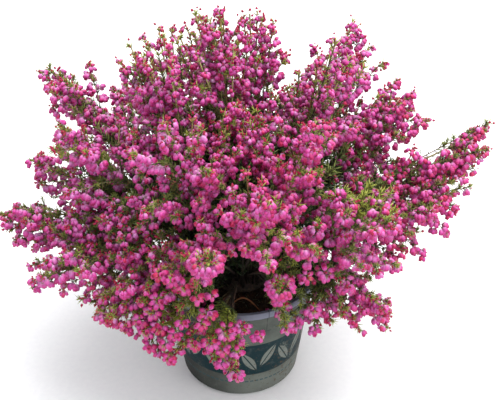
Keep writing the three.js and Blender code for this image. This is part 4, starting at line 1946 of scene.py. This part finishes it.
@dataclass(frozen=True)
class Wood:
    """The wood: the main shoots, their side twigs and the branchlets.

    ages holds the UV map's v at both ends of a main shoot, a leafy twig and a flowering twig.
    """

    rng: Rng
    twigs: Twigs
    branch: Branchlets
    rings: int = 10
    few: tuple[int, ...] = (0, 2, 4, 6, 8, 9)
    ages: tuple[tuple[float, float], ...] = ((0.0, 0.9), (0.0, 0.5), (0.3, 1.0))
    sprig_width: float = 0.42
    sprig_length: float = 1.1
    youngest: int = 12

    def of(self, owner: int) -> Surface:
        """One main shoot's wood, the side twigs with fewer rings and sides.

        Args:
            owner: the main shoot's number.

        Returns:
            The wood.
        """
        mine = np.flatnonzero(self.twigs.owner == owner)
        centres, thick = self.twigs.lines(mine, self.rings), self.twigs.thick[mine]
        radii = thick[:, :1] + (thick[:, 1:] - thick[:, :1]) * np.linspace(0, 1, self.rings)
        main = mine < len(SHOOTS)
        ages = np.array(self.ages)[np.where(self.twigs.leafy_only[mine], 1, 2) * ~main]
        tone = self.rng.integers(0, TONES, len(mine))
        limb = tubes(centres[main], radii[main], 5, tone[main], ages[main])
        few = list(self.few)
        side = tubes(centres[~main][:, few], radii[~main][:, few], 3, tone[~main], ages[~main])
        sprigs = self.branch.kept((self.branch.owner == owner) & SPACE.clear(self.branch.start))
        count = len(sprigs.owner)
        sizes = np.stack([np.full(count, self.sprig_width), sprigs.length * self.sprig_length], axis=-1)
        tone = self.rng.integers(self.youngest, TONES, count)
        return joined(limb, side, SPIKE.copies(sprigs.start, sprigs.aim, sizes, tone, np.zeros(count)))


@dataclass(frozen=True)
class Planting:
    """The whole plant above the crown: its wood, its flowers and its leaves, shoot by shoot.

    Bells farther in than bare_within are left out, and those inside plain_within have no stalks.
    """

    bark: Material
    petal: Material
    needle: Material
    seed: int = 11
    bare_within: float = 0.5
    bare_blend: float = 0.16
    plain_within: float = 0.88

    def build(self) -> None:
        """Makes three pieces for each main shoot: wood, flowers and leaves."""
        rng, form = np.random.default_rng(self.seed), ShootForm()
        branching = Branching(rng, form, form.curves())
        twigs = branching.build()
        flowering, leafing = Flowering(rng, twigs), Leafing(rng, twigs)
        branch = flowering.branchlets()
        in_bloom = branch.kept(~branch.leafy)
        bells, stalks = flowering.bells(in_bloom)
        depth = branching.depth(bells.places)
        shown = depth > self.bare_within + self.bare_blend * rng.random(len(depth))
        outer = depth > self.plain_within
        plain = bells.kept(shown & ~outer)
        bells, stalks = bells.kept(shown & outer), stalks.kept(shown & outer)
        buds = flowering.buds(in_bloom)
        posy_bells, posy_buds, posy_leaves = flowering.posies(branching)
        bells, buds = bells.and_more(posy_bells), buds.and_more(posy_buds)
        needles = leafing.whorls().and_more(leafing.tufts(branch.kept(branch.leafy)), posy_leaves)
        needles = leafing.toned(needles, branching.depth(needles.places))
        counts = (len(rows.owner) for rows in (twigs, bells, plain, buds, needles))
        LOG.info("%d twigs, %d bells, %d plainer bells, %d buds, %d needles", *counts)
        wood = Wood(rng, twigs, branch)
        for owner in range(len(SHOOTS)):
            stem, spray = f"stem_{owner + 1:02d}", f"spray_{owner + 1:02d}"
            add_piece(make_object(f"{stem}_wood", wood.of(owner), self.bark), Slot.BARK, stem)
            bloom = joined(bells.of(owner, BELL), plain.of(owner, PLAIN_BELL), buds.of(owner, BUD))
            add_piece(make_object(f"{spray}_flowers", bloom, self.petal), Slot.BLOOM, spray)
            leaves = joined(needles.of(owner, SPIKE), stalks.of(owner, SPIKE))
            add_piece(make_object(f"{spray}_leaves", leaves, self.needle), Slot.FOLIAGE, spray)


# The studio.


@dataclass(frozen=True)
class Studio:
    """A pale floor, soft light from the upper right and the photograph's camera."""

    material: Material
    target: tuple[float, float, float] = (0.0078, 0.0, 0.1546)
    distance: float = 0.733
    look_down: float = 34.6
    lens: float = 72.0
    floor_size: float = 30.0

    def camera(self) -> None:
        """Sets the camera where the photograph was taken from."""
        data = bpy.data.cameras.new("camera")
        data.lens = self.lens
        data.sensor_width = 36.0
        data.sensor_fit = "HORIZONTAL"
        data.clip_start = 0.05
        down = math.radians(self.look_down)
        forward = Vector((0.0, math.cos(down), -math.sin(down)))
        camera = linked("camera", data)
        camera.location = Vector(self.target) - forward * self.distance
        camera.rotation_euler = forward.to_track_quat("-Z", "Y").to_euler()
        bpy.context.scene.camera = camera

    def lamp(self, name: str, place: tuple[float, float, float], size: float, power: float) -> None:
        """Adds one soft round lamp that faces the plant.

        Args:
            name: the lamp's name.
            place: where it hangs, in metres.
            size: how wide it is, in metres.
            power: in watts.
        """
        data = bpy.data.lights.new(name, "AREA")
        data.shape = "DISK"
        data.size = size
        data.energy = power
        lamp = linked(name, data)
        lamp.location = place
        way = Vector(self.target) - lamp.location
        lamp.rotation_euler = way.to_track_quat("-Z", "Y").to_euler()

    def floor(self) -> None:
        """Lays the floor: one large level square under the pot."""
        half = self.floor_size / 2
        mesh = bpy.data.meshes.new("floor")
        corners = [(-half, -half, 0), (half, -half, 0), (half, half, 0), (-half, half, 0)]
        mesh.from_pydata(corners, [], [(0, 1, 2, 3)])
        mesh.materials.append(self.material)
        linked("floor", mesh)

    def build(self) -> None:
        """Makes the studio."""
        self.camera()
        self.floor()
        self.lamp("key", (1.35, -0.8, 0.8), 1.2, 7.0)
        self.lamp("overhead", (0.5, 0.1, 2.0), 2.0, 48.0)
        world = bpy.data.worlds.new("studio")
        sky = Painter(world).add(Kind.SKY, linear("f4f6fa"), 1.12)
        sky.to(Kind.WORLD)
        bpy.context.scene.world = world
        bpy.context.scene.view_settings.view_transform = "Standard"


def main() -> None:
    """Builds the plant, piece by piece, in the frame of the CAD model."""
    logging.basicConfig(level=logging.INFO, format="%(message)s")
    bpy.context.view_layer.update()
    rng = np.random.default_rng(3)
    bark, petal, needle = HeathBark().build(), HeathPetal().build(), HeathNeedle().build()

    Studio(PaperSweep().build()).build()
    NurseryPot(PrintedPolypropylene().build()).build()
    bed = CompostBed(PeatCompost().build(), rng)
    bed.build()
    bed.strew(Litter("fallen_bells", BELL, 16, 4.2, 5.2, 8, Slot.BLOOM, petal))
    bed.strew(Litter("fallen_needles", SPIKE, 160, 0.7, 5.0, 4, Slot.FOLIAGE, needle))
    bed.root(bark)
    WoodyCrown(bark, rng).build()
    Planting(bark, petal, needle).build()

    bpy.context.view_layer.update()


if __name__ == "__main__":
    main()
